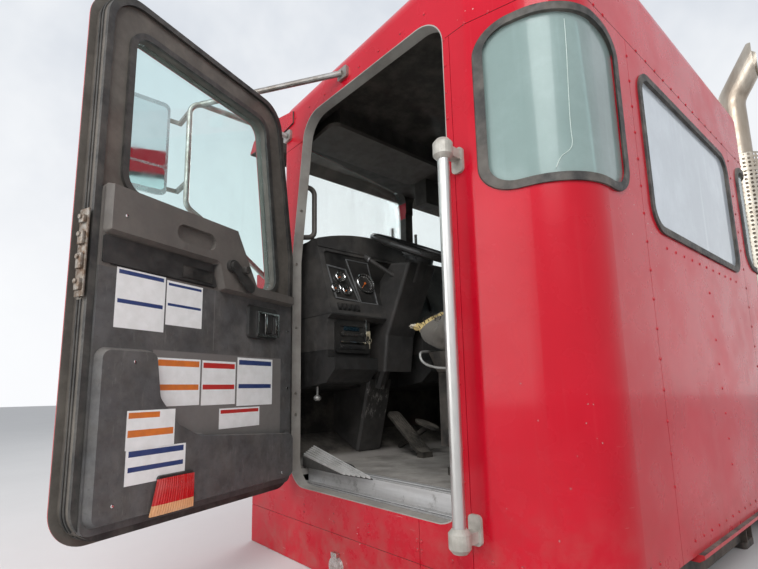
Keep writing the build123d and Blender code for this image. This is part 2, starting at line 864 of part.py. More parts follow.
# Each foot is a rounded cup on a neck and a plate, and the handle ends inside it
with BuildPart() as grab_castings:
    for end_z, way in ((handle_low_z, -1), (handle_high_z, 1)):
        middle_z = end_z + way * casting_height / 2
        foot_z = middle_z - way * casting_foot / 3
        straight = casting_height - 2 * casting_round
        for plane_z, length, slope in (
            (middle_z - straight / 2, straight, 0),
            (middle_z + straight / 2, casting_round, 40),
            (middle_z - straight / 2, -casting_round, 40),
        ):
            with BuildSketch(Plane.XY.offset(plane_z)):
                with Locations((handle_x, handle_y)):
                    RegularPolygon(casting_radius, casting_sides)
            extrude(amount=length, taper=slope)
        with Locations(((side_x + handle_x) / 2, handle_y, middle_z)):
            Box(handle_stand, casting_radius, casting_radius)
        with BuildSketch(Plane.YZ.offset(side_x)):
            with Locations((handle_y, foot_z)):
                RectangleRounded(casting_foot, casting_foot_height, 12)
        extrude(amount=casting_foot_thickness)
    mirror(about=Plane.YZ)
write(grab_castings.part, "grab_castings")

# Tread plate on the floor's edge, with raised ribs, a riser and a step at the doorway's foot
sill_end = 12.0
sill_length = opening_rear_y - opening_front_y + 2 * sill_end
sill_middle_y = (opening_front_y + opening_rear_y) / 2
sill_width = 60.0
sill_outer_x = inner_x - jamb_sheet - seat_gap
rib_pitch = 13.0
rib_width = 4.0
with BuildPart() as sill_plates:
    with BuildSketch(Plane.XZ.offset(-sill_middle_y)):
        with BuildLine():
            Polyline(
                (step_x - sill_width, floor_top_z),
                (step_x - sill_width, floor_top_z + sill_thickness),
                (step_x, floor_top_z + sill_thickness),
                (step_x, opening_bottom_z + sill_thickness),
                (sill_outer_x, opening_bottom_z + sill_thickness),
                (sill_outer_x, opening_bottom_z),
                (step_x - sill_thickness, opening_bottom_z),
                (step_x - sill_thickness, floor_top_z),
                close=True,
            )
        make_face()
        with Locations((step_x - sill_width / 2, floor_top_z + sill_thickness)):
            with GridLocations(rib_pitch, 0, 4, 1):
                Rectangle(rib_width, rib_width)
        with Locations(((step_x + sill_outer_x) / 2, opening_bottom_z + sill_thickness)):
            with GridLocations(rib_pitch, 0, 3, 1):
                Rectangle(rib_width, rib_width / 2)
    extrude(amount=sill_length / 2, both=True)
    mirror(about=Plane.YZ)
write(sill_plates.part, "sill_plates")

with BuildPart() as floor_mat:
    mat_edge = step_x - sill_width - seat_gap
    mat_top_z = floor_top_z + mat_thickness
    add(block(-mat_edge, toe_board_start_y, floor_top_z, mat_edge, seam_y - 20, mat_top_z))
write(floor_mat.part, "floor_mat")

# Dash, drawn in section from the door and run across the cab
wheel_normal = (0, sin(radians(wheel_tilt)), cos(radians(wheel_tilt)))
wheel_plane = Plane(origin=wheel_centre, x_dir=(1, 0, 0), z_dir=wheel_normal)
dash_front_y = pillar_front_y + wall + dash_rear_gap
face_high_z = dash_top_z - dash_lip
face_run_y = dash_face_low_y - dash_face_top_y
face_run_z = face_high_z - dash_face_low_z
column_x = wheel_centre[0]
under_slope = (dash_under_z - dash_bottom_z) / (dash_under_y - front_y - 2 * wall)
shroud_outline = (
    (-148.0, 1130.0),
    (-262.0, 1150.0),
    (-325.0, 1096.0),
    (-348.0, 890.0),
    (-420.0, 880.0),
    (-430.0, 690.0),
    (-314.0, 685.0),
    (-292.0, 838.0),
)


def column_prism(outline, width, margin):
    """A side outline, grown by the margin, run across the steering column's width."""
    with BuildPart() as prism:
        with BuildSketch(Plane.YZ.offset(column_x)):
            with BuildLine():
                Polyline(*outline, close=True)
            make_face()
            if margin:
                offset(amount=margin, kind=Kind.INTERSECTION)
        extrude(amount=width / 2 + margin, both=True)
    return prism.part


face_plane = Plane(
    origin=(0, (dash_face_top_y + dash_face_low_y) / 2, (face_high_z + dash_face_low_z) / 2),
    x_dir=(1, 0, 0),
    z_dir=(0, face_run_z, face_run_y),
)
hood_y = dash_face_top_y - 36
hood_drop = 34.0
hood_nose = 1.0
with BuildPart() as dash:
    with BuildSketch(Plane.YZ):
        with BuildLine():
            Polyline(
                (dash_face_top_y, face_high_z),
                (dash_face_low_y, dash_face_low_z),
                (glovebox_face_y, dash_face_low_z - dash_step),
                (glovebox_face_y, glovebox_low_z - glovebox_lip),
                (dash_knee_y, glovebox_low_z - 1.3 * glovebox_lip),
                (dash_knee_y, dash_knee_low_z),
                (dash_under_y, dash_under_z),
                (front_y + 2 * wall, dash_bottom_z),
                (front_y + wall, dash_under_z),
                (front_y + wall, shelf_low_z),
                (dash_front_y, shelf_low_z),
                (dash_front_y, dash_top_z - hood_drop),
            )
            ThreePointArc(
                (dash_front_y, dash_top_z - hood_drop),
                ((dash_front_y + hood_y) / 2, dash_top_z - hood_drop / 3),
                (hood_y, dash_top_z),
            )
            ThreePointArc(
                (hood_y, dash_top_z),
                ((hood_y + dash_face_top_y) / 2, dash_top_z + hood_nose),
                (dash_face_top_y, face_high_z),
            )
        make_face()
    extrude(amount=dash_half, both=True)
    with BuildSketch(Plane.XZ.offset(-hood_rear_y)):
        with BuildLine():
            ThreePointArc(
                (binnacle_x - hood_half, face_high_z),
                (binnacle_x, dash_top_z + hood_rise),
                (binnacle_x + hood_half - 1, face_high_z),
            )
            Polyline(
                (binnacle_x + hood_half - 1, face_high_z),
                (binnacle_x + hood_half - 1, face_high_z - hood_drop),
                (binnacle_x - hood_half, face_high_z - hood_drop),
                (binnacle_x - hood_half, face_high_z),
            )
        make_face()
    extrude(amount=hood_length)
    with BuildSketch(face_plane.offset(-binnacle_depth)):
        with Locations((binnacle_x, binnacle_down)):
            RectangleRounded(binnacle_width, binnacle_height, 20)
    extrude(amount=2 * binnacle_depth, mode=Mode.SUBTRACT)
    add(
        block(
            column_x - leg_recess_half,
            leg_recess_y,
            0,
            column_x + leg_recess_half,
            0,
            dash_face_low_z - dash_step,
        ),
        mode=Mode.SUBTRACT,
    )
    add(column_prism(shroud_outline, shroud_width, seat_gap), mode=Mode.SUBTRACT)
    add(
        block(
            glovebox_right_x + glovebox_lip,
            glovebox_face_y - glovebox_depth,
            glovebox_low_z + glovebox_lip,
            glovebox_left_x - glovebox_lip,
            glovebox_face_y,
            glovebox_high_z - glovebox_lip,
        ),
        mode=Mode.SUBTRACT,
    )
write(dash.part, "dash")

with BuildPart() as glovebox_lid:
    lid_outer_y = glovebox_face_y + glovebox_thickness
    low = (glovebox_right_x, glovebox_face_y + seat_gap, glovebox_low_z)
    add(block(*low, glovebox_left_x, lid_outer_y, glovebox_high_z))
write(glovebox_lid.part, "glovebox_lid")

# Steering wheel: a rim on four spokes and a dished hub
rim_plane = Plane(origin=wheel_centre, x_dir=(1, 0, 0), z_dir=(0, wheel_normal[2], -wheel_normal[1]))
spoke_middle = (hub_radius + wheel_radius - 2 * rim_radius) / 2
spoke_length = wheel_radius - hub_radius - rim_radius
with BuildPart() as steering_wheel:
    with BuildSketch(rim_plane):
        with Locations((wheel_radius - rim_radius, 0)):
            RegularPolygon(rim_radius, rod_sides)
    revolve(axis=Axis(wheel_centre, wheel_normal))
    with BuildSketch(wheel_plane.offset(-wheel_hub_drop)):
        Circle(hub_radius)
    extrude(amount=hub_depth, taper=trim_taper / 2)
    with BuildSketch(wheel_plane.offset(-spoke_depth - 6)):
        with PolarLocations(spoke_middle + 2, 4, start_angle=30):
            Rectangle(spoke_length + 4, spoke_width)
    extrude(amount=spoke_depth)
write(steering_wheel.part, "steering_wheel")

# The column: a collar under the wheel, a cover that stands out of the dash, and a trunk
# that runs down to the toe board
stalk_plane = Plane(origin=(column_x + shroud_width / 2 - 6, -247, 1090), z_dir=(0.72, -0.43, 0.54))
trunk_front_y = front_y + wall + seat_gap
trunk_top_z = 655.0
trunk_outline = (
    (-431.0, trunk_top_z),
    (leg_recess_y + seat_gap, trunk_top_z),
    (leg_recess_y + seat_gap, dash_under_z + (leg_recess_y - dash_under_y) * under_slope - seat_gap),
    (front_y + 2 * wall, dash_bottom_z - seat_gap),
    (trunk_front_y, dash_bottom_z - seat_gap),
    (trunk_front_y, 300.0),
    (-530.0, 300.0),
)
with BuildPart() as steering_column:
    add(column_prism(shroud_outline, shroud_width, 0))
    rear_edges = steering_column.edges().filter_by(
        lambda e: abs(abs(e.center().X - column_x) - shroud_width / 2) < 1 and e.center().Y > -310
    )
    fillet(rear_edges, shroud_round)
    with BuildSketch(wheel_plane.offset(-wheel_hub_drop - seat_gap)):
        RectangleRounded(collar_width, collar_width, 30)
    extrude(amount=-collar_length)
    with BuildSketch(wheel_plane.offset(-tube_start)):
        RegularPolygon(tube_radius, rod_sides)
    extrude(amount=-tube_length)
    with BuildPart() as trunk:
        add(column_prism(trunk_outline, trunk_width, 0))
        chamfer(
            trunk.edges().filter_by(
                lambda e: abs(e.center().X - column_x) > 1 and -485 < e.center().Y < -475
            ),
            trunk_chamfer,
        )
    add(trunk.part)
    with BuildSketch(stalk_plane):
        RegularPolygon(8, rod_sides)
    extrude(amount=stalk_length)
    with BuildSketch(stalk_plane.offset(stalk_length - 2)):
        RegularPolygon(13, rod_sides)
    extrude(amount=20)
    with BuildSketch(Plane.YZ):
        with BuildLine():
            Polyline(
                (front_y, 0),
                (0, 0),
                (0, mat_top_z + seat_gap),
                (toe_board_start_y, mat_top_z + seat_gap),
                (front_y + wall, mat_top_z + seat_gap + toe_board_rise),
                (front_y, mat_top_z + seat_gap + toe_board_rise),
                close=True,
            )
        make_face()
    extrude(amount=side_x, mode=Mode.SUBTRACT)
write(steering_column.part, "steering_column")

# Seats: each on a foot, a suspension box and a dished pan that holds the cushion
pan_height = 68.0
pan_slope = 22.0
foot_plate = 26.0
with BuildPart() as seat_bases:
    for side in (-1, 1):
        pan_low_z = cushion_low_z - pan_height
        with BuildSketch(Plane.XY.offset(cushion_low_z)):
            with Locations((side * seat_x, pedestal_y + 20)):
                RectangleRounded(seat_width - 40, cushion_rear_y - cushion_front_y - 60, 60)
        extrude(amount=-pan_height, taper=pan_slope)
        with Locations((side * seat_x, pedestal_y, (pedestal_low_z + pan_low_z) / 2)):
            Box(300, 390, pan_low_z - pedestal_low_z)
        with Locations((side * seat_x, pedestal_y, (mat_top_z + pedestal_low_z) / 2)):
            Box(240, 280, pedestal_low_z - mat_top_z)
        with Locations((side * seat_x, pedestal_y, mat_top_z + foot_plate / 2)):
            Box(300, 340, foot_plate)
write(seat_bases.part, "seat_bases")

with BuildPart() as seat_cushions:
    for side in (-1, 1):
        with BuildSketch(Plane.XY.offset(cushion_low_z)):
            with Locations((side * seat_x, (cushion_front_y + cushion_rear_y) / 2)):
                RectangleRounded(seat_width, cushion_rear_y - cushion_front_y, 70)
        extrude(amount=cushion_high_z - cushion_low_z)
write(seat_cushions.part, "seat_cushions")

back_low_z = cushion_high_z + seat_gap
with BuildPart() as seat_backs:
    for side in (-1, 1):
        with BuildSketch(Plane.XY.offset(back_low_z)):
            with Locations((side * seat_x, cushion_rear_y - back_thickness / 2 + back_set)):
                RectangleRounded(seat_width - 20, back_thickness, 50)
        extrude(amount=back_high_z - back_low_z)
write(seat_backs.part, "seat_backs")

# Mirrors: a mast on an upper and a lower arm, with a strut back to the roof's edge
root_x = side_x + arm_foot
upper_root = (root_x, pillar_side_y + 20, mirror_top_z - 82)
upper_end = (mirror_mast_x, mirror_mast_y, mirror_top_z)
lower_root = (root_x, mirror_mast_y, belt_z - 55)
lower_knee = (side_x + mirror_knee_stand, mirror_mast_y, mirror_knee_z)
strut_share = 0.9
strut_root = (root_x, strut_anchor_y, mirror_top_z)
strut_end = tuple(a + (b - a) * strut_share for a, b in zip(upper_root, upper_end))
bend = 45.0
arm_routes = (
    (upper_root, upper_end, (mirror_mast_x, mirror_mast_y, mirror_bottom_z), lower_knee,
     lower_root),
    (strut_root, strut_end),
)
clamp_spread = 150.0
clamp_height = 14.0
clamp_strap = 12.0
head_back_y = mirror_y - mirror_depth - seat_gap
clamp_outline = (
    (mirror_mast_x - mirror_arm_radius + 3, mirror_mast_y),
    (mirror_mast_x + mirror_arm_radius - 3, mirror_mast_y),
    (mirror_mast_x + mirror_arm_radius - 3, head_back_y),
    (mirror_x, head_back_y),
    (mirror_x, head_back_y - clamp_strap),
    (mirror_mast_x - mirror_arm_radius + 3, head_back_y - clamp_strap),
)
with BuildPart() as mirror_arms:
    for route in arm_routes:
        with BuildLine() as path:
            if len(route) > 2:
                FilletPolyline(*route, radius=bend)
            else:
                Line(*route)
        with BuildSketch(Plane(origin=path.line @ 0, z_dir=path.line % 0)):
            RegularPolygon(mirror_arm_radius, rod_sides)
        sweep()
    for root in (upper_root, lower_root, strut_root):
        with BuildSketch(Plane.YZ.offset(side_x)):
            with Locations((root[1], root[2])):
                RectangleRounded(54, 46, 8)
        extrude(amount=arm_foot + 1)
    for height in (mirror_middle_z - clamp_spread, mirror_middle_z + clamp_spread):
        with BuildSketch(Plane.XY.offset(height)):
            with BuildLine():
                Polyline(*clamp_outline, close=True)
            make_face()
        extrude(amount=clamp_height)
    mirror(about=Plane.YZ)
write(mirror_arms.part, "mirror_arms")

# Each head is a rounded shell with its glass let into the face that looks back
head_glass_z = (mirror_middle_z + 52, mirror_middle_z - 128)
head_glass_height = (250.0, 90.0)
glass_width = mirror_width - 2 * mirror_glass_border
with BuildPart() as mirror_heads:
    with BuildSketch(Plane.XZ.offset(-mirror_y)):
        with Locations((mirror_x, mirror_middle_z)):
            RectangleRounded(mirror_width, mirror_height, 25)
    extrude(amount=mirror_depth, taper=trim_taper)
    for glass_z, height in zip(head_glass_z, head_glass_height):
        with BuildSketch(Plane.XZ.offset(-mirror_y)):
            with Locations((mirror_x, glass_z)):
                RectangleRounded(glass_width, height, 16)
        extrude(amount=mirror_glass_thickness, mode=Mode.SUBTRACT)
    mirror(about=Plane.YZ)
write(mirror_heads.part, "mirror_heads")

with BuildPart() as mirror_glass:
    for glass_z, height in zip(head_glass_z, head_glass_height):
        with BuildSketch(Plane.XZ.offset(-mirror_y)):
            with Locations((mirror_x, glass_z)):
                RectangleRounded(glass_width, height, 16)
        extrude(amount=mirror_glass_thickness)
    mirror(about=Plane.YZ)
write(mirror_glass.part, "mirror_glass")

# Visor over the windshield, on an end plate at each pillar
with BuildPart() as roof_keep_out:
    with BuildSketch(Plane.XY.offset(belt_z)):
        add(plan(-seat_gap))
    extrude(amount=roof_rear_z)
visor_sheet_z = visor_low_z + visor_rise
with BuildPart() as exterior_visor:
    with BuildSketch(Plane.YZ):
        with BuildLine():
            Polyline(
                (visor_front_y, visor_low_z),
                (visor_front_y + visor_lip_run, visor_low_z + visor_lip_rise),
                (pillar_front_y, visor_sheet_z),
                (pillar_front_y, visor_sheet_z + visor_thickness),
                (visor_front_y + visor_lip_run - 2, visor_low_z + visor_lip_rise + visor_thickness),
                (visor_front_y - visor_thickness, visor_low_z),
                close=True,
            )
        make_face()
    extrude(amount=side_x + seat_gap, both=True)
    add(roof_keep_out.part, mode=Mode.SUBTRACT)
    plate_rear_y = pillar_side_y + 60
    for end_x in (-side_x - seat_gap - visor_plate, side_x + seat_gap):
        with BuildSketch(Plane.YZ.offset(end_x)):
            with BuildLine():
                Polyline(
                    (visor_front_y, visor_low_z),
                    (pillar_side_y - 30, visor_low_z - 21),
                    (plate_rear_y, visor_low_z - 9),
                    (plate_rear_y, visor_low_z + 45),
                    (pillar_front_y, visor_sheet_z + visor_thickness),
                    (visor_front_y + visor_lip_run - 2,
                     visor_low_z + visor_lip_rise + visor_thickness),
                    close=True,
                )
            make_face()
        extrude(amount=visor_plate)
write(exterior_visor.part, "exterior_visor")

# Wipers, parked upright beside the windshield's post
with BuildPart() as wipers:
    for side in (-1, 1):
        with BuildSketch(Plane.YZ.offset(side * 95 - 5)):
            with BuildLine():
                Polyline(
                    (front_y - 24, belt_z - 30),
                    (front_y, belt_z - 30),
                    (front_y, belt_z + 60),
                    (front_y + 12, belt_z + 100),
                    (front_y + 12, belt_z + 400),
                    (front_y - 2, belt_z + 400),
                    (front_y - 2, belt_z + 120),
                    close=True,
                )
            make_face()
        extrude(amount=10)
write(wipers.part, "wipers")

# Exhaust stack with its pierced shield and turned-out tip
with BuildPart() as exhaust_stack:
    with BuildLine() as stack_path:
        FilletPolyline(
            (stack_x, stack_y, stack_low_z),
            (stack_x, stack_y, stack_bend_z),
            (stack_x, stack_y + stack_tip_run, stack_bend_z + stack_tip_rise),
            radius=stack_bend,
        )
    with BuildSketch(Plane.XY.offset(stack_low_z)):
        with Locations((stack_x, stack_y)):
            Circle(stack_radius)
            Circle(stack_radius - pipe_wall, mode=Mode.SUBTRACT)
    sweep(path=stack_path.line)
    cut_y = stack_y + stack_tip_cut
    add(block(stack_x - 2 * stack_radius, cut_y, stack_bend_z, stack_x + 2 * stack_radius,
              cut_y + 4 * stack_radius, stack_bend_z + 2 * stack_tip_rise), mode=Mode.SUBTRACT)
write(exhaust_stack.part, "exhaust_stack")

# Two brackets carry the shield on the cab's corner, and the shield carries the stack
bracket_inner_x = -side_x + bracket_reach
with BuildPart() as exhaust_shield:
    for height in (lower_bracket_z, upper_bracket_z):
        with BuildSketch(Plane.XY.offset(height)):
            with Locations(((stack_x + bracket_inner_x) / 2, stack_y - bracket_offset)):
                Rectangle(bracket_inner_x - stack_x, bracket_width)
            add(plan(0), mode=Mode.SUBTRACT)
            with Locations((stack_x, stack_y)):
                Circle(shield_radius)
        extrude(amount=bracket_thickness)
    with BuildSketch(Plane.XY.offset(shield_low_z)):
        with Locations((stack_x, stack_y)):
            Circle(shield_radius)
            Circle(shield_radius - pipe_wall, mode=Mode.SUBTRACT)
    extrude(amount=shield_high_z - shield_low_z)
    with BuildSketch(Plane.XY.offset(shield_low_z)):
        with Locations((stack_x, stack_y)):
            Circle(stack_radius + seat_gap)
    extrude(amount=shield_high_z - shield_low_z, mode=Mode.SUBTRACT)
write(exhaust_shield.part, "exhaust_shield")

# Instruments in the binnacle, switches under them, and the radio panel below
panel_depth = 5.0
bezel_depth = 6.0
bezel_width = 5.0
bezel_sides = 24
# Gauge places on the dash face: across, down the face, radius
gauges = (
    (771, -5, 25),
    (806, 52, 23),
    (752, 56, 23),
    (637, 6, 48),
    (500, 6, 48),
    (385, -36, 27),
    (385, 38, 27),
)
switch_count = 5
with BuildPart() as instrument_panel:
    with BuildSketch(face_plane.offset(-binnacle_depth)):
        with Locations((binnacle_x, binnacle_down)):
            RectangleRounded(binnacle_width - 2, binnacle_height - 2, 19)
    extrude(amount=panel_depth)
    with BuildSketch(face_plane.offset(panel_depth - binnacle_depth)):
        for across, down, radius in gauges:
            with Locations((across, down)):
                RegularPolygon(radius, bezel_sides)
                RegularPolygon(radius - bezel_width, bezel_sides, mode=Mode.SUBTRACT)
    extrude(amount=bezel_depth)
    with BuildSketch(face_plane):
        with Locations((binnacle_x + binnacle_width / 2 - 66, 138)):
            with GridLocations(23, 0, switch_count, 1):
                Rectangle(17, 28)
    extrude(amount=5)
    with BuildSketch(Plane.XZ.offset(-glovebox_face_y)):
        with Locations((radio_x, radio_z - 30)):
            RectangleRounded(176, 128, 12)
        with Locations((radio_x, radio_z - 22)):
            Rectangle(134, 72, mode=Mode.SUBTRACT)
    extrude(amount=-9)
    with BuildSketch(Plane.XZ.offset(-glovebox_face_y)):
        with Locations((radio_x, radio_z - 22)):
            Rectangle(133, 71)
    extrude(amount=-4)
    add(column_prism(shroud_outline, shroud_width, 2 * seat_gap), mode=Mode.SUBTRACT)
write(instrument_panel.part, "instrument_panel")

# Foot controls: a ribbed treadle hinged at its heel, and an oval pad on an arm
treadle_tilt = 40.0
treadle_normal = (0, sin(radians(treadle_tilt)), cos(radians(treadle_tilt)))
treadle_plane = Plane(origin=(365, -387, 414), x_dir=(1, 0, 0), z_dir=treadle_normal)
treadle_length = 260.0
treadle_width = 78.0
pad_tilt = 17.0
pad_normal = (0, sin(radians(pad_tilt)), cos(radians(pad_tilt)))
pad_x = 285.0
arm_width = 20.0
with BuildPart() as pedals:
    with BuildSketch(treadle_plane):
        RectangleRounded(treadle_width, treadle_length, 20)
    extrude(amount=12)
    with BuildSketch(treadle_plane.offset(11)):
        with GridLocations(14, 0, 5, 1):
            Rectangle(6, treadle_length - 50)
    extrude(amount=4)
    add(block(335, -303, mat_top_z, 395, -265, mat_top_z + 24))
    with BuildSketch(Plane(origin=(pad_x, -342, 443), x_dir=(1, 0, 0), z_dir=pad_normal)):
        Ellipse(34, 68)
    extrude(amount=10)
    with BuildSketch(Plane.YZ.offset(pad_x - arm_width / 2)):
        with BuildLine():
            Polyline((-337.5, 447.5), (-322.5, 432.5), (-515, 331), (-530, 338), close=True)
        make_face()
    extrude(amount=arm_width)
write(pedals.part, "pedals")

# Console and sun visors under the roof, and the pillars' inside handles
console_low_z = 1726.0
console_rear_y = -330.0
console_half = inner_x - 130
hanging_box = ((0, -520, 1590), (120, -440, console_low_z + 4))
with BuildPart() as overhead_console:
    add(roof_solid(roof_wall + seat_gap))
    add(block(-console_half, front_y, console_low_z, console_half, console_rear_y, roof_rear_z),
        mode=Mode.INTERSECT)
    add(block(*hanging_box[0], *hanging_box[1]))
write(overhead_console.part, "overhead_console")

flap_width = 660.0
flap_reach = 205.0
flap_thickness = 18.0
flap_tilt = 6.0
flap_centre = (side_x - 420, -372.0, 1700.0)
stay_radius = 6.0
with BuildPart() as sun_visors:
    flap_plane = Plane(
        origin=flap_centre,
        x_dir=(1, 0, 0),
        z_dir=(0, -sin(radians(flap_tilt)), cos(radians(flap_tilt))),
    )
    with BuildSketch(flap_plane.offset(-flap_thickness)):
        RectangleRounded(flap_width, flap_reach, 45)
    extrude(amount=flap_thickness)
    for offset_x in (-flap_width / 3, flap_width / 3):
        with BuildSketch(Plane.XY.offset(flap_centre[2] - 4)):
            with Locations((flap_centre[0] + offset_x, flap_centre[1])):
                RegularPolygon(stay_radius, rod_sides)
        extrude(amount=console_low_z - flap_centre[2] + 4)
    mirror(about=Plane.YZ)
write(sun_visors.part, "sun_visors")

pillar_handle_stand = 72.0
pillar_handle_y = -440.0
with BuildPart() as pillar_handles:
    with BuildLine() as handle_path:
        FilletPolyline(
            (inner_x, pillar_handle_y - 20, 1480),
            (inner_x - pillar_handle_stand, pillar_handle_y, 1470),
            (inner_x - pillar_handle_stand, pillar_handle_y, 1255),
            (inner_x, pillar_handle_y - 20, 1245),
            radius=30,
        )
    with BuildSketch(Plane(origin=handle_path.line @ 0, z_dir=handle_path.line % 0)):
        RegularPolygon(11, rod_sides)
    sweep()
    add(walls, mode=Mode.SUBTRACT)
    mirror(about=Plane.YZ)
write(pillar_handles.part, "pillar_handles")

# Chrome cap low on the skirt, with its tab
cap_centre = (-142, 42)
cap_radius = 36.0
with BuildPart() as skirt_cap:
    with BuildSketch(Plane.YZ.offset(side_x)):
        with Locations(cap_centre):
            Circle(cap_radius)
    extrude(amount=9, taper=trim_taper)
    with BuildSketch(Plane.YZ.offset(side_x)):
        with Locations((cap_centre[0], cap_centre[1] + cap_radius + 3)):
            RectangleRounded(30, 16, 4)
    extrude(amount=14)
write(skirt_cap.part, "skirt_cap")
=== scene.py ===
"""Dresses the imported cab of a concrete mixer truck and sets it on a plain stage."""

import math
import random

import bmesh
import bpy
from mathutils import Matrix, Vector, noise as lumps
from mathutils.bvhtree import BVHTree


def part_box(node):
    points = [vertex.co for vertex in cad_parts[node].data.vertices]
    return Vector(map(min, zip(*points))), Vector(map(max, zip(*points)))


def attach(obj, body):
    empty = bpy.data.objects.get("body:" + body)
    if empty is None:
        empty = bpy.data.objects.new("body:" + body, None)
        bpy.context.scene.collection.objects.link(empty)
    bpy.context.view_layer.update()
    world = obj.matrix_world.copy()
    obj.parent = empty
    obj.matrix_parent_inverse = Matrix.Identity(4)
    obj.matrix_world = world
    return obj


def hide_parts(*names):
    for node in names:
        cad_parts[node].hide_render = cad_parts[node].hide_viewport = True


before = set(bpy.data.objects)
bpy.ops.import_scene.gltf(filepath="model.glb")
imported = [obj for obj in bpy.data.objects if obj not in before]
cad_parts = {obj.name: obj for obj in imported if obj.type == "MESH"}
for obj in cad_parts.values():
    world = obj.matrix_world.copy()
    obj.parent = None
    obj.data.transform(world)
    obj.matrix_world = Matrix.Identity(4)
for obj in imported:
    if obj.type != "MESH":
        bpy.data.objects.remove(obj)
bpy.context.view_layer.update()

bl_info = {
    "name": "Mixer Truck Cab",
    "version": (1, 0, 0),
    "blender": (4, 5, 0),
    "location": "View3D > Sidebar > Cab",
    "description": "Paint, glass, trim, seats and fasteners of a mixer truck's cab",
    "category": "Object",
}

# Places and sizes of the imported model, in metres
SIDE_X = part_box("side_panels")[1].x
HINGE = Vector((SIDE_X + 0.025, -0.458, 0.0))
OPEN_ANGLE = math.radians(69.0)
TRIM_X = SIDE_X - 0.078
PANEL_X = SIDE_X - 0.054

# The sloping instrument panel: its middle, the way up it and the way out of it
FACE_MIDDLE = Vector((0.0, -0.345, 1.0705))
FACE_UP = Vector((0, -0.3120, 0.9501))
FACE_OUT = Vector((0, 0.9501, 0.3120))

# The middle of the rear corner's arc, and the rivet rows under the roof and at the wall's foot
ARC_X, ARC_Y = 0.66, 0.45
SEAM_Z, FOOT_Z = 1.6265, 0.204

# The pads' mesh, and how long and how hard they are swollen
PAD_VOXEL = 0.006
CLOTH_FRAMES = 20
CLOTH_PRESSURE = 4.0

# The tear in the driver's cushion: its inner and rear limits, and the corner that bulges out
TEAR_INNER_X, TEAR_REAR_Y = 0.655, 0.175
TEAR_CORNER = Vector((0.716, 0.004, 0.838))

# Edges sharper than this, in degrees, are rounded and not shaded smooth
SHARP = 35.0
MIRRORED = Matrix.Diagonal((-1, 1, 1, 1))

# Shared colours, linear
DUST = (0.36, 0.32, 0.27)


# Meshes

def deselect():
    """Leaves object mode with nothing selected."""
    if bpy.context.object and bpy.context.object.mode != "OBJECT":
        bpy.ops.object.mode_set(mode="OBJECT")
    bpy.ops.object.select_all(action="DESELECT")


def choose(*pieces):
    """Selects these pieces alone, the first of them active."""
    deselect()
    for piece in pieces:
        piece.select_set(True)
    bpy.context.view_layer.objects.active = pieces[0]


def start(kind, name, scale=(1, 1, 1), **settings):
    """Adds a mesh primitive by its kind, scaled, with its place in its mesh."""
    deselect()
    getattr(bpy.ops.mesh, f"primitive_{kind}_add")(**settings)
    piece = bpy.context.object
    piece.name = piece.data.name = name
    piece.scale = scale
    bpy.ops.object.transform_apply(location=True, rotation=True, scale=True)
    return piece


def pick(piece, test=None):
    """Opens the piece in edit mode with every face chosen, or the vertices that pass the test."""
    choose(piece)
    bpy.ops.object.mode_set(mode="EDIT")
    bpy.ops.mesh.select_mode(type="VERT" if test else "FACE")
    bpy.ops.mesh.select_all(action="DESELECT")
    mesh = bmesh.from_edit_mesh(piece.data)
    for part in mesh.verts if test else mesh.faces:
        part.select_set(test is None or bool(test(part.co)))
    mesh.select_flush_mode()
    bmesh.update_edit_mesh(piece.data)


def leave():
    """Goes back to object mode."""
    bpy.ops.object.mode_set(mode="OBJECT")


def modify(piece, kind, **settings):
    """Adds a modifier and applies it."""
    choose(piece)
    added = piece.modifiers.new(kind.title(), kind)
    for name, value in settings.items():
        setattr(added, name, value)
    bpy.ops.object.modifier_apply(modifier=added.name)


def soften(piece, width, segments=2):
    """Rounds a piece's sharp edges."""
    modify(piece, "BEVEL", width=width, segments=segments, limit_method="ANGLE",
           angle_limit=math.radians(SHARP))


def outward(piece):
    """Merges doubles and points the faces outwards."""
    pick(piece)
    bpy.ops.mesh.remove_doubles(threshold=0.00002)
    bpy.ops.mesh.normals_make_consistent(inside=False)
    leave()


def smooth(piece, angle=SHARP):
    """Shades a piece smooth up to an angle."""
    choose(piece)
    bpy.ops.object.shade_smooth_by_angle(angle=math.radians(angle))


def copies(piece, places, name):
    """One mesh of a copy of the piece at each place, and the first one is used up."""
    made = []
    for place in places:
        copy = piece.copy()
        copy.data = piece.data.copy()
        copy.data.transform(place)
        bpy.context.scene.collection.objects.link(copy)
        made.append(copy)
    bpy.data.objects.remove(piece)
    return joined(made, name)


def joined(pieces, name):
    """Joins pieces into one."""
    choose(*pieces)
    if len(pieces) > 1:
        bpy.ops.object.join()
    piece = bpy.context.object
    piece.name = piece.data.name = name
    return piece


def wear(piece, body, slot, *materials, angle=SHARP):
    """Gives a finished piece its materials and its body; its slot is not used."""
    smooth(piece, angle)
    for material in materials:
        piece.data.materials.append(material)
    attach(piece, body)
    return piece


def open_door():
    """The turn from the shut driver's door to the open one."""
    return (Matrix.Translation(HINGE) @ Matrix.Rotation(-OPEN_ANGLE, 4, "Z")
            @ Matrix.Translation(-HINGE))


def hang(piece, side):
    """Moves a piece made on the shut driver's door to the open one, or across to the other."""
    if side == "left":
        piece.data.transform(open_door())
    else:
        piece.data.transform(MIRRORED)
        outward(piece)
    return piece


def brick(name, low, high, edge=0.0):
    """A box between two corners, its edges rounded."""
    low, high = Vector(low), Vector(high)
    piece = start("cube", name, size=1, location=(low + high) / 2, scale=high - low)
    if edge:
        soften(piece, edge)
    return piece


def post(name, radius, length, place, edge=0.0, sides=16):
    """A short round bar along the place's Z axis, its rims rounded."""
    piece = start("cylinder", name, vertices=sides, radius=radius, depth=length)
    if edge:
        soften(piece, edge)
    piece.data.transform(place)
    return piece


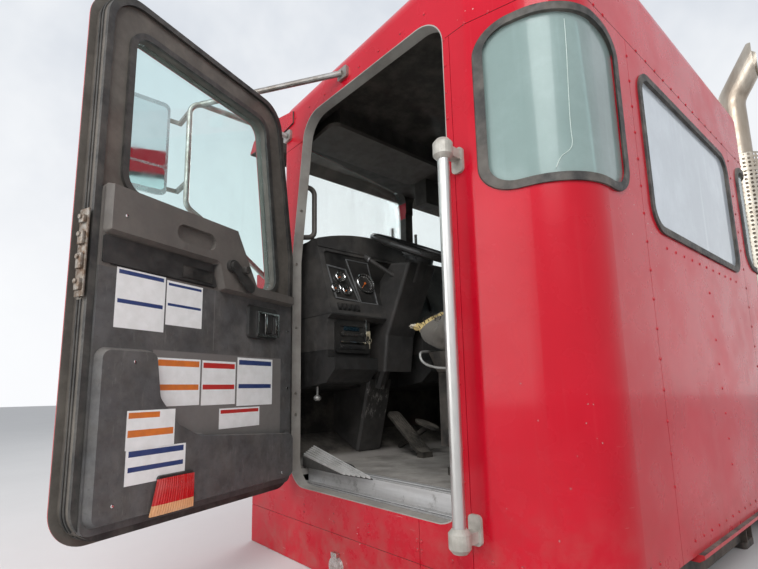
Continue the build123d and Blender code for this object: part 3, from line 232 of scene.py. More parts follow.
def border(name, corners, width, thickness):
    """A flat frame along a polygon, as wide and thick as given."""
    piece = start("plane", name, size=1)
    order = (0, 1, 3, 2)
    for index, corner in zip(order, corners):
        piece.data.vertices[index].co = corner
    pick(piece)
    bpy.ops.mesh.inset(thickness=width)
    bpy.ops.mesh.delete(type="FACE")
    leave()
    modify(piece, "SOLIDIFY", thickness=thickness, offset=0)
    outward(piece)
    return piece


def tube(name, points, radius, sides=3, cyclic=False):
    """A smooth bar of small section through the points."""
    line = bpy.data.curves.new(name, "CURVE")
    line.dimensions = "3D"
    line.bevel_depth, line.bevel_resolution, line.use_fill_caps = radius, sides, True
    spline = line.splines.new("NURBS")
    spline.points.add(len(points) - 1)
    for point, place in zip(spline.points, points):
        point.co = (*place, 1.0)
    spline.order_u, spline.use_endpoint_u, spline.use_cyclic_u = 3, not cyclic, cyclic
    piece = bpy.data.objects.new(name, line)
    bpy.context.scene.collection.objects.link(piece)
    choose(piece)
    bpy.ops.object.convert(target="MESH")
    return bpy.context.object


def stuffed(piece, cap):
    """Swells a closed pad by a short cloth simulation, no point moving past the cap."""
    choose(piece)
    piece.data.remesh_voxel_size = PAD_VOXEL
    bpy.ops.object.voxel_remesh()
    start_at = [vertex.co.copy() for vertex in piece.data.vertices]
    cloth = piece.modifiers.new("Cloth", "CLOTH")
    cloth.settings.use_pressure = True
    cloth.settings.uniform_pressure_force = CLOTH_PRESSURE
    cloth.settings.effector_weights.gravity = 0.0
    scene = bpy.context.scene
    for frame_number in range(1, CLOTH_FRAMES + 1):
        scene.frame_set(frame_number)
    choose(piece)
    bpy.ops.object.modifier_apply(modifier=cloth.name)
    scene.frame_set(1)
    for vertex, place in zip(piece.data.vertices, start_at):
        step = vertex.co - place
        if step.length > cap:
            vertex.co = place + step.normalized() * cap
    modify(piece, "SMOOTH", factor=0.5, iterations=6)
    return piece


def sewn(piece, lines, depth, width, facing_up):
    """Presses sewn channels into a pad along lines of one coordinate."""
    for vertex in piece.data.vertices:
        if vertex.normal.dot(facing_up) < 0.3:
            continue
        pull = sum(math.exp(-((vertex.co[axis] - value) / width) ** 2)
                   for axis, value in lines)
        vertex.co -= facing_up * depth * min(pull, 1.0)


def profiled(name, outline, low_x, high_x, edge):
    """A block with this outline of Y and Z, its edges rounded."""
    piece = start("circle", name, vertices=len(outline), fill_type="NGON")
    for vertex, (y, z) in zip(piece.data.vertices, outline):
        vertex.co = (low_x, y, z)
    pick(piece)
    bpy.ops.mesh.extrude_region_move(TRANSFORM_OT_translate={"value": (high_x - low_x, 0, 0)})
    leave()
    outward(piece)
    soften(piece, edge, 3)
    return piece


def facing(point, normal):
    """A place whose Z axis is the normal."""
    turned = Vector(normal).to_track_quat("Z", "Y").to_matrix().to_4x4()
    return Matrix.Translation(Vector(point)) @ turned


def tree_of(mesh):
    """A search tree of a mesh's surface."""
    return BVHTree.FromPolygons([v.co for v in mesh.vertices],
                                [p.vertices for p in mesh.polygons])


def skins(*nodes):
    """Search trees of CAD nodes, for setting things on their surface."""
    return [tree_of(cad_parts[name].data) for name in nodes]


def touch(trees, origin, direction):
    """The first place that a ray meets, and the surface's normal there."""
    hits = [tree.ray_cast(Vector(origin), Vector(direction).normalized()) for tree in trees]
    hits = [hit for hit in hits if hit[0] is not None]
    if not hits:
        raise RuntimeError(f"nothing is met from {tuple(origin)}")
    point, normal, _, _ = min(hits, key=lambda hit: hit[3])
    return point, normal


# Materials

def add(tree, kind, settings=None, **inputs):
    """Adds a shader node; inputs are values or sockets, by name or by _number."""
    made = tree.nodes.new("ShaderNode" + kind)
    for name, value in (settings or {}).items():
        setattr(made, name, value)
    for name, value in inputs.items():
        socket = made.inputs[int(name[1:]) if name[0] == "_" else name.replace("_", " ")]
        if isinstance(value, bpy.types.NodeSocket):
            tree.links.new(value, socket)
        else:
            socket.default_value = (*value, 1.0) if (
                socket.type == "RGBA" and len(value) == 3) else value
    return made


def blank(name):
    """A new material, its tree and its shader."""
    material = bpy.data.materials.new(name)
    material.use_nodes = True
    return material, material.node_tree, material.node_tree.nodes["Principled BSDF"]


def math_of(tree, operation, first, second=0.0, clamp=False):
    """One sum, of numbers or sockets."""
    return add(tree, "Math", {"operation": operation, "use_clamp": clamp}, _0=first,
               _1=second).outputs[0]


def times(tree, first, *others):
    """The product of numbers or sockets."""
    for other in others:
        first = math_of(tree, "MULTIPLY", first, other)
    return first


def off(tree, value, level):
    """How far a value is from a level."""
    return math_of(tree, "ABSOLUTE", math_of(tree, "SUBTRACT", value, level))


def axes(tree, where):
    """The X, Y and Z of a vector."""
    return tuple(add(tree, "SeparateXYZ", Vector=where).outputs)


def normal_of(tree):
    """The way that the surface looks."""
    return add(tree, "NewGeometry").outputs["Normal"]


def noise(tree, where, scale, detail=4.0, rough=0.55):
    """A cloudy pattern from 0 to 1."""
    return add(tree, "TexNoise", Vector=where, Scale=scale, Detail=detail,
               Roughness=rough).outputs["Fac"]


def between(tree, value, low, high, to_low=0.0, to_high=1.0):
    """A value's share of the way from low to high."""
    return add(tree, "MapRange", {"interpolation_type": "SMOOTHSTEP"}, Value=value,
               From_Min=low, From_Max=high, To_Min=to_low, To_Max=to_high).outputs[0]


def tint(tree, share, first, second):
    """A colour between two others."""
    return add(tree, "Mix", {"data_type": "RGBA"}, _0=share, _6=first, _7=second).outputs[2]


def over(tree, shader, share, colour):
    """Lays a colour over the shader's own, as thick as the share."""
    base = shader.inputs["Base Color"].links[0].from_socket
    tree.links.new(tint(tree, share, base, colour), shader.inputs["Base Color"])


def emboss(tree, shader, strength, distance, height):
    """Adds a bump over the one that the shader has."""
    raised = add(tree, "Bump", Strength=strength, Distance=distance, Height=height)
    tree.links.new(shader.inputs["Normal"].links[0].from_socket, raised.inputs["Normal"])
    tree.links.new(raised.outputs[0], shader.inputs["Normal"])


def place_on(tree, side=None, stretch=(1, 1, 1)):
    """Object coordinates; on the open door they are turned back to the shut one."""
    where = add(tree, "TexCoord").outputs["Object"]
    if side == "left":
        back = open_door().inverted()
        where = add(tree, "Mapping", Vector=where, Location=back.to_translation(),
                    Rotation=(0, 0, OPEN_ANGLE)).outputs[0]
    if stretch != (1, 1, 1):
        where = add(tree, "Mapping", Vector=where, Scale=stretch).outputs[0]
    return where


def dusted(tree, colour, where, amount, tone=DUST):
    """Dust lies where the surface looks up, and in patches."""
    lying = between(tree, axes(tree, normal_of(tree))[2], 0.0, 0.9, 0.35, 1.0)
    patches = between(tree, noise(tree, where, 9.0, 6.0, 0.65), 0.36, 0.68)
    share = math_of(tree, "MULTIPLY", times(tree, lying, patches), amount, True)
    return tint(tree, share, colour, tone), share


def finish(name, base, second, metal=0.0, rough=(0.4, 0.6), coat=0.0, patch=5.0, grain=350.0,
           bump=0.12, dust=0.0, side=None, stretch=(1, 1, 1), tone=DUST):
    """A worn surface: two mottled colours, a fine grain, and dust where it looks up."""
    material, tree, shader = blank(name)
    where = place_on(tree, side)
    drawn = place_on(tree, side, stretch)
    cloud = noise(tree, drawn, patch, 5.0, 0.6)
    colour = tint(tree, between(tree, cloud, 0.3, 0.7), base, second)
    fine = noise(tree, drawn, grain, 3.0, 0.7)
    rougher = between(tree, noise(tree, where, patch * 3, 5.0), 0.3, 0.75, rough[0], rough[1])
    if dust:
        colour, share = dusted(tree, colour, where, dust, tone)
        rougher = math_of(tree, "ADD", rougher, times(tree, share, 0.3), True)
    raised = add(tree, "Bump", Strength=bump, Distance=0.001, Height=fine)
    tree.links.new(colour, shader.inputs["Base Color"])
    tree.links.new(rougher, shader.inputs["Roughness"])
    tree.links.new(raised.outputs[0], shader.inputs["Normal"])
    shader.inputs["Metallic"].default_value = metal
    shader.inputs["Coat Weight"].default_value = coat
    shader.inputs["Coat Roughness"].default_value = 0.06
    return material, tree, shader, where


def coated(*colours, **settings):
    """The material alone of a worn surface."""
    return finish(*colours, **settings)[0]


def painted(name, inner, side=None, inner_below=None):
    """Sun-faded red paint with chips; inward faces carry the colour of the lining."""
    paint = bpy.context.scene.cab_colours
    material, tree, shader = blank(name)
    where = place_on(tree, side)
    cloud = noise(tree, where, 2.2, 4.0, 0.6)
    red = tint(tree, between(tree, cloud, 0.35, 0.7), tuple(paint.red), tuple(paint.red_faded))
    streaks = noise(tree, place_on(tree, side, (60, 60, 1.2)), 1.0, 5.0, 0.7)
    red = tint(tree, between(tree, streaks, 0.55, 0.85, 0.0, 0.12), red, (0.55, 0.12, 0.12))
    cells = add(tree, "TexVoronoi", {"feature": "F1"}, Vector=where, Scale=38.0)
    chips = times(tree, between(tree, cells.outputs["Distance"], 0.06, 0.09, 1.0, 0.0),
                  between(tree, noise(tree, where, 3.2, 3.0), 0.60, 0.68))
    red = tint(tree, chips, red, (0.60, 0.42, 0.40))
    scratches = noise(tree, place_on(tree, side, (7, 7, 150)), 1.0, 2.0, 0.4)
    scratched = times(tree, between(tree, scratches, 0.735, 0.75),
                      between(tree, noise(tree, where, 2.6, 3.0), 0.52, 0.62))
    red = tint(tree, times(tree, scratched, 0.5), red, (0.55, 0.25, 0.24))
    across, depth, height = axes(tree, where)
    across = math_of(tree, "ABSOLUTE", across)
    grime = times(tree, between(tree, height, 0.42, 0.02),
                  between(tree, noise(tree, where, 14.0, 6.0, 0.7), 0.35, 0.75))
    red = tint(tree, times(tree, grime, 0.45), red, (0.30, 0.17, 0.14))
    if inner_below is None:
        out = add(tree, "VectorMath", {"operation": "SUBTRACT"}, _0=where, _1=(0, 0, 1.05))
        face = add(tree, "VectorMath", {"operation": "DOT_PRODUCT"}, _0=out.outputs[0],
                   _1=normal_of(tree))
        inside = between(tree, face.outputs["Value"], -0.06, 0.02, 1.0, 0.0)
        # The post between the two front panes is dark but for its outside
        post_inside = between(tree, axes(tree, normal_of(tree))[1], -0.7, -0.6)
        for value, from_here, to_here, first, last in (
                (across, 0.045, 0.050, 1.0, 0.0), (depth, -0.31, -0.30, 1.0, 0.0),
                (height, 1.14, 1.15, 0.0, 1.0), (height, 1.59, 1.60, 1.0, 0.0)):
            post_inside = times(tree, post_inside,
                                between(tree, value, from_here, to_here, first, last))
        inside = math_of(tree, "MAXIMUM", inside, post_inside)
    else:
        inside = between(tree, across, inner_below - 0.001, inner_below, 1.0, 0.0)
    lining = tint(tree, noise(tree, where, 30.0, 5.0, 0.7), inner,
                  tuple(0.55 * c for c in inner))
    lining, _ = dusted(tree, lining, where, 0.5)
    colour = tint(tree, inside, red, lining)
    dull = between(tree, noise(tree, where, 6.0, 4.0), 0.3, 0.8, 0.22, 0.38)
    dull = math_of(tree, "ADD", dull, times(tree, grime, 0.3))
    dull = math_of(tree, "MAXIMUM", dull, times(tree, inside, 0.75))
    peel = times(tree, noise(tree, where, 420.0, 2.0), 0.012)
    raised = add(tree, "Bump", Strength=0.35, Distance=0.004,
                 Height=math_of(tree, "ADD", noise(tree, where, 3.5, 2.0), peel))
    tree.links.new(colour, shader.inputs["Base Color"])
    tree.links.new(dull, shader.inputs["Roughness"])
    tree.links.new(raised.outputs[0], shader.inputs["Normal"])
    shader.inputs["Specular IOR Level"].default_value = 0.2
    shader.inputs["Coat Weight"].default_value = 0.2
    shader.inputs["Coat Roughness"].default_value = 0.08
    return material


def glazed(name, tone, haze_and_painted_sky_tone, haze_and_painted_sky, dirt=0.1, side=None):
    """Tinted glass that lets light through, with an even haze, dirty runs and a reflection; on the
    rear pane the even haze is partly a dusty film and partly a painted reflection of the sky.
    """
    material, tree, shader = blank(name)
    where = place_on(tree, side)
    film = between(tree, noise(tree, where, 3.0, 6.0, 0.7), 0.35, 0.8, 0.0, dirt)
    runs = between(tree, noise(tree, place_on(tree, side, (22, 22, 1.6)), 1.0, 4.0), 0.5, 0.9,
                   0.0, dirt)
    clear = add(tree, "BsdfTransparent", Color=tone)
    shader.inputs["Base Color"].default_value = (*haze_and_painted_sky_tone, 1.0)
    shader.inputs["Roughness"].default_value = 0.25
    cloudy = math_of(tree, "ADD", math_of(tree, "ADD", film, runs), haze_and_painted_sky, True)
    body = add(tree, "MixShader", _0=cloudy, _1=clear.outputs[0], _2=shader.outputs[0])
    mirror = add(tree, "BsdfPrincipled", Base_Color=(0.92, 0.96, 0.97), Metallic=1.0,
                 Roughness=0.03)
    edge = add(tree, "LayerWeight", Blend=0.16).outputs["Fresnel"]
    mixed = add(tree, "MixShader", _0=edge, _1=body.outputs[0], _2=mirror.outputs[0])
    tree.links.new(mixed.outputs[0], tree.nodes["Material Output"].inputs["Surface"])
    return material


def dress(material, *nodes):
    """Puts a material on CAD nodes."""
    for name in nodes:
        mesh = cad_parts[name].data
        mesh.materials.clear()
        mesh.materials.append(material)


# Sizes and colours that a user may change

class CabSizes(bpy.types.PropertyGroup):
    """Sizes of the small things on the cab."""

    rivet_radius: bpy.props.FloatProperty(
        name="Rivet radius", description="Radius of a rivet's head", default=0.0052,
        min=0.001, unit="LENGTH")
    rivet_pitch: bpy.props.FloatProperty(
        name="Rivet pitch", description="Distance between rivets in a column", default=0.081,
        min=0.02, unit="LENGTH")
    seam_pitch: bpy.props.FloatProperty(
        name="Seam pitch", description="Distance between rivets along the roof's seam",
        default=0.0758, min=0.02, unit="LENGTH")
    label_lift: bpy.props.FloatProperty(
        name="Label lift", description="How far a label stands off the trim", default=0.0006,
        min=0.0001, unit="LENGTH")
    screw_radius: bpy.props.FloatProperty(
        name="Screw radius", description="Radius of a trim screw's head", default=0.0045,
        min=0.001, unit="LENGTH")
    shield_holes: bpy.props.IntProperty(
        name="Holes around", description="Holes in one ring of the heat shield", default=26,
        min=8)


class CabColours(bpy.types.PropertyGroup):
    """Colours of the paint and the trim."""

    red: bpy.props.FloatVectorProperty(
        name="Paint", description="Colour of the body", subtype="COLOR",
        default=(0.46, 0.001, 0.013), min=0, max=1)
    red_faded: bpy.props.FloatVectorProperty(
        name="Faded paint", description="Colour of sun-faded patches", subtype="COLOR",
        default=(0.53, 0.004, 0.020), min=0, max=1)
    trim: bpy.props.FloatVectorProperty(
        name="Trim", description="Colour of the moulded trim", subtype="COLOR",
        default=(0.050, 0.047, 0.045), min=0, max=1)
    cloth: bpy.props.FloatVectorProperty(
        name="Seat cloth", description="Colour of the seats' cover", subtype="COLOR",
        default=(0.165, 0.150, 0.128), min=0, max=1)
    foam: bpy.props.FloatVectorProperty(
        name="Foam", description="Colour of bare foam", subtype="COLOR",
        default=(0.72, 0.55, 0.24), min=0, max=1)


class CAB_OT_paint(bpy.types.Operator):
    """Paints the body, the doors' skins and the visor."""

    bl_idname = "cab.paint"
    bl_label = "Paint"

    def execute(self, context):
        grey = (0.085, 0.078, 0.070)
        dress(painted("body_paint", grey), "windshield_frame", "side_panels",
              "quarter_panels", "rear_wall", "exterior_visor", "pillar_hinges")
        dress(painted("cowl_paint", (0.022, 0.020, 0.018)), "cowl")
        dress(painted("roof_paint", (0.060, 0.052, 0.046)), "roof")
        for side in ("left", "right"):
            dress(painted(f"door_paint_{side}", (0.13, 0.115, 0.10), side,
                          SIDE_X + 0.0085), f"door_shell_{side}")
            dress(painted(f"hinge_paint_{side}", grey, side, SIDE_X - 0.01),
                  f"door_hinge_{side}")
        jamb = coated("jamb_paint", (0.38, 0.36, 0.33), (0.25, 0.23, 0.21), rough=(0.45, 0.7),
                      patch=8.0, dust=0.7)
        dress(jamb, "door_jambs")
        return {"FINISHED"}


class CAB_OT_glass(bpy.types.Operator):
    """Glazes the windows and mirrors and finishes their rubbers."""

    bl_idname = "cab.glass"
    bl_label = "Glass"

    def execute(self, context):
        dress(glazed("windshield_tint", (0.97, 1.0, 0.99), (0.62, 0.70, 0.69), 0.015, 0.05),
              "windshield_glass")
        dress(glazed("corner_tint", (0.60, 0.78, 0.74), (0.40, 0.51, 0.49), 0.50, 0.14),
              "corner_glass")
        # The rear pane's pale blue haze is partly a dusty film and partly a painted reflection of
        # the sky
        dress(glazed("rear_tint_painted_sky", (0.62, 0.70, 0.74), (0.72, 0.78, 0.84), 0.70, 0.16),
              "rear_glass")
        for side in ("left", "right"):
            dress(glazed(f"door_tint_{side}", (0.91, 1.0, 0.985), (0.60, 0.70, 0.70), 0.02,
                         0.05, side), f"door_glass_{side}")
        rubber = coated("window_rubber", (0.022, 0.021, 0.020), (0.055, 0.050, 0.045),
                        rough=(0.5, 0.8), patch=18.0, grain=600.0, bump=0.25, dust=0.5)
        dress(rubber, "window_gaskets")
        for side in ("left", "right"):
            seal = coated(f"door_rubber_{side}", (0.016, 0.016, 0.016), (0.045, 0.042, 0.038),
                          rough=(0.45, 0.75), patch=22.0, grain=700.0, bump=0.3, dust=0.35,
                          side=side)
            dress(seal, f"door_seals_{side}")
        dress(coated("mirror_silver", (0.72, 0.76, 0.78), (0.66, 0.70, 0.72), metal=1.0,
                     rough=(0.03, 0.12), grain=60.0, bump=0.01), "mirror_glass")
        return {"FINISHED"}


class CAB_OT_trim(bpy.types.Operator):
    """Finishes the dash, the doors' trim, the floor and the small fittings."""

    bl_idname = "cab.trim"
    bl_label = "Trim"

    def execute(self, context):
        trim = tuple(context.scene.cab_colours.trim)
        dark = tuple(0.6 * c for c in trim)
        brown = (0.075, 0.064, 0.055)
        for side in ("left", "right"):
            dress(door_trim(f"door_plastic_{side}", side), f"door_trim_{side}")
            dress(coated(f"fitting_plastic_{side}", (0.018, 0.018, 0.018), (0.04, 0.038, 0.036),
                         rough=(0.35, 0.6), patch=20.0, dust=0.08, side=side),
                  f"door_fittings_{side}")
            dress(coated(f"lock_steel_{side}", (0.30, 0.28, 0.25), (0.16, 0.10, 0.06),
                         metal=0.8, rough=(0.35, 0.7), patch=30.0, side=side),
                  f"door_lock_{side}")
        moulded = {"rough": (0.45, 0.7), "patch": 10.0, "grain": 900.0, "bump": 0.3, "dust": 0.25}
        dress(coated("dash_plastic", trim, dark, **moulded), "glovebox_lid")
        # The dash darkens below its lower seam, and has two seams
        shell, tree, shader, where = finish("dash_shell", trim, dark, **moulded)
        height = axes(tree, where)[2]
        over(tree, shader, between(tree, height, 0.762, 0.765, 0.72, 0.0), (0.008, 0.008, 0.008))
        for level, width in ((0.765, 0.0016), (0.908, 0.0014)):
            over(tree, shader, between(tree, off(tree, height, level), width, 2 * width, 0.8, 0.0),
                 (0.006, 0.006, 0.006))
        dress(shell, "dash")
        # The column's trunk is scuffed on its rear
        column, tree, shader, where = finish(
            "column_plastic", trim, dark, rough=(0.4, 0.7), patch=10.0, grain=900.0, bump=0.3,
            dust=0.2)
        height = axes(tree, where)[2]
        torn = between(tree, noise(tree, place_on(tree, None, (3, 1, 1)), 20.0, 8.0, 0.8),
                       0.53, 0.60)
        band = times(tree, between(tree, height, 0.47, 0.52),
                     between(tree, height, 0.60, 0.64, 1.0, 0.0),
                     between(tree, axes(tree, normal_of(tree))[1], 0.3, 0.7))
        over(tree, shader, times(tree, torn, band), (0.30, 0.28, 0.26))
        dress(column, "steering_column")
        dress(coated("panel_plastic", (0.010, 0.010, 0.010), (0.020, 0.019, 0.018),
                     rough=(0.35, 0.6), patch=14.0, grain=700.0, bump=0.2, dust=0.12),
              "instrument_panel")
        dress(coated("wheel_rim", (0.010, 0.010, 0.010), (0.020, 0.019, 0.018),
                     rough=(0.25, 0.45), patch=16.0, grain=500.0, bump=0.35, dust=0.04),
              "steering_wheel")
        dress(coated("brown_plastic", brown, tuple(0.6 * c for c in brown), rough=(0.4, 0.65),
                     patch=9.0, grain=700.0, bump=0.25, dust=0.4),
              "pillar_handles", "sun_visors")
        dress(coated("header_plastic", (0.050, 0.043, 0.037), (0.030, 0.026, 0.023),
                     rough=(0.6, 0.85), patch=7.0, grain=600.0, bump=0.3, dust=0.25),
              "overhead_console")
        dress(coated("black_steel", (0.020, 0.020, 0.020), (0.075, 0.066, 0.056), metal=0.4,
                     rough=(0.45, 0.75), patch=14.0, dust=0.6),
              "pedals", "seat_bases", "wipers")
        dress(coated("rail_paint", (0.030, 0.029, 0.028), (0.085, 0.060, 0.045),
                     rough=(0.55, 0.85), patch=9.0, dust=0.5), "mount_rails")
        floor, tree, shader, where = finish(
            "floor_paint", (0.050, 0.044, 0.040), (0.028, 0.025, 0.022), rough=(0.55, 0.8),
            patch=7.0, dust=0.35)
        low = between(tree, axes(tree, where)[2], 0.325, 0.345, 1.0, 0.0)
        pale = tint(tree, noise(tree, where, 6.0, 5.0), (0.42, 0.39, 0.36), (0.26, 0.24, 0.22))
        over(tree, shader, low, pale)
        dress(floor, "floor_pan")
        dress(coated("mat_rubber", (0.36, 0.34, 0.31), (0.22, 0.20, 0.18),
                     rough=(0.7, 0.95), patch=6.0, grain=260.0, bump=0.5, dust=0.9,
                     tone=(0.46, 0.43, 0.39)), "floor_mat")
        sill, tree, shader, where = finish(
            "sill_alloy", (0.74, 0.74, 0.74), (0.46, 0.45, 0.44), metal=0.35,
            rough=(0.4, 0.7), patch=18.0, grain=500.0, dust=0.6, stretch=(1, 0.06, 1),
            tone=(0.52, 0.50, 0.47))
        ribbed(tree, shader, where, "X", 62.0)
        edge = off(tree, math_of(tree, "ABSOLUTE", axes(tree, where)[0]),
                   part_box("sill_plates")[1].x - 0.016)
        worn = times(tree, between(tree, edge, 0.004, 0.006, 0.9, 0.0),
                     between(tree, noise(tree, place_on(tree, None, (6, 0.8, 6)), 9.0, 5.0, 0.7),
                             0.44, 0.50))
        mud = between(tree, noise(tree, where, 11.0, 7.0, 0.75), 0.55, 0.68, 0.0, 0.7)
        over(tree, shader, mud, (0.20, 0.19, 0.175))
        over(tree, shader, worn, (0.035, 0.036, 0.040))
        dress(sill, "sill_plates")
        return {"FINISHED"}


def door_trim(name, side):
    """Grained plastic of the door's inner side: pad, black strip, pale inset, scuffed pocket."""
    material, tree, shader, where = finish(
        name, (0.096, 0.094, 0.095), (0.058, 0.055, 0.054), rough=(0.5, 0.75), patch=16.0,
        grain=900.0, bump=0.35, dust=0.3, side=side)
    across, depth, height = axes(tree, where)
    across = math_of(tree, "ABSOLUTE", across)

    def zone(value, low, high):
        """One inside a range of one coordinate."""
        return times(tree, between(tree, value, low - 0.002, low + 0.002),
                     between(tree, value, high - 0.002, high + 0.002, 1.0, 0.0))

    scuffs = noise(tree, place_on(tree, side, (1, 26, 5)), 3.0, 6.0, 0.75)
    over(tree, shader, times(tree, between(tree, scuffs, 0.56, 0.72), 0.5), (0.19, 0.18, 0.17))
    specks = between(tree, noise(tree, where, 85.0, 5.0, 0.8), 0.56, 0.70, 0.0, 0.45)
    over(tree, shader, specks, (0.030, 0.028, 0.026))
    flat = between(tree, across, SIDE_X - 0.064, SIDE_X - 0.061)
    inset = times(tree, zone(depth, -0.347, 0.192), zone(height, 0.440, 0.726), flat)
    over(tree, shader, inset, tint(tree, noise(tree, where, 5.0, 4.0), (0.21, 0.195, 0.18),
                                   (0.14, 0.13, 0.125)))
    line = times(tree, between(tree, off(tree, depth, -0.020), 0.0008, 0.0018, 0.5, 0.0),
                 zone(height, 0.735, 0.925))
    over(tree, shader, line, (0.20, 0.19, 0.18))
    pad = tint(tree, noise(tree, where, 7.0, 4.0), (0.135, 0.120, 0.108), (0.085, 0.076, 0.068))
    pad, _ = dusted(tree, pad, where, 0.35)
    over(tree, shader, between(tree, height, 0.923, 0.926), pad)
    strip = times(tree, zone(depth, -0.014, 0.330), zone(height, 0.930, 1.006),
                  between(tree, across, SIDE_X - 0.074, SIDE_X - 0.071))
    over(tree, shader, strip, (0.016, 0.015, 0.015))
    return material


def ribbed(tree, shader, where, way, scale):
    """Adds straight ribs, with dirt lying between them."""
    wave = add(tree, "TexWave", {"bands_direction": way}, Vector=where, Scale=scale).outputs[1]
    emboss(tree, shader, 0.8, 0.002, wave)
    over(tree, shader, between(tree, wave, 0.15, 0.5, 0.55, 0.0), (0.10, 0.09, 0.08))


class CAB_OT_metal(bpy.types.Operator):
    """Finishes the grab handles, mirror arms, exhaust and other bare metal."""

    bl_idname = "cab.metal"
    bl_label = "Metal"

    def execute(self, context):
        dress(coated("handle_alloy", (0.60, 0.59, 0.57), (0.42, 0.41, 0.39), metal=0.9,
                     rough=(0.32, 0.5), patch=12.0, grain=300.0, stretch=(1, 1, 0.02)),
              "grab_handles")
        dress(coated("cast_foot", (0.52, 0.50, 0.45), (0.34, 0.32, 0.28), metal=0.25,
                     rough=(0.4, 0.6), patch=26.0, grain=420.0, bump=0.3, dust=0.4),
              "grab_castings")
        dress(coated("arm_steel", (0.42, 0.41, 0.39), (0.26, 0.23, 0.20), metal=0.85,
                     rough=(0.3, 0.55), patch=20.0, dust=0.2), "mirror_arms")
        dress(coated("head_alloy", (0.55, 0.56, 0.57), (0.42, 0.43, 0.44), metal=0.9,
                     rough=(0.22, 0.4), patch=8.0), "mirror_heads")
        dress(coated("stack_steel", (0.56, 0.51, 0.43), (0.34, 0.28, 0.22), metal=0.85,
                     rough=(0.28, 0.5), patch=9.0, grain=200.0, stretch=(1, 1, 0.15)),
              "exhaust_stack", "exhaust_shield")
        dress(coated("cap_chrome", (0.70, 0.69, 0.67), (0.48, 0.45, 0.41), metal=1.0,
                     rough=(0.12, 0.4), patch=40.0), "skirt_cap")
        return {"FINISHED"}


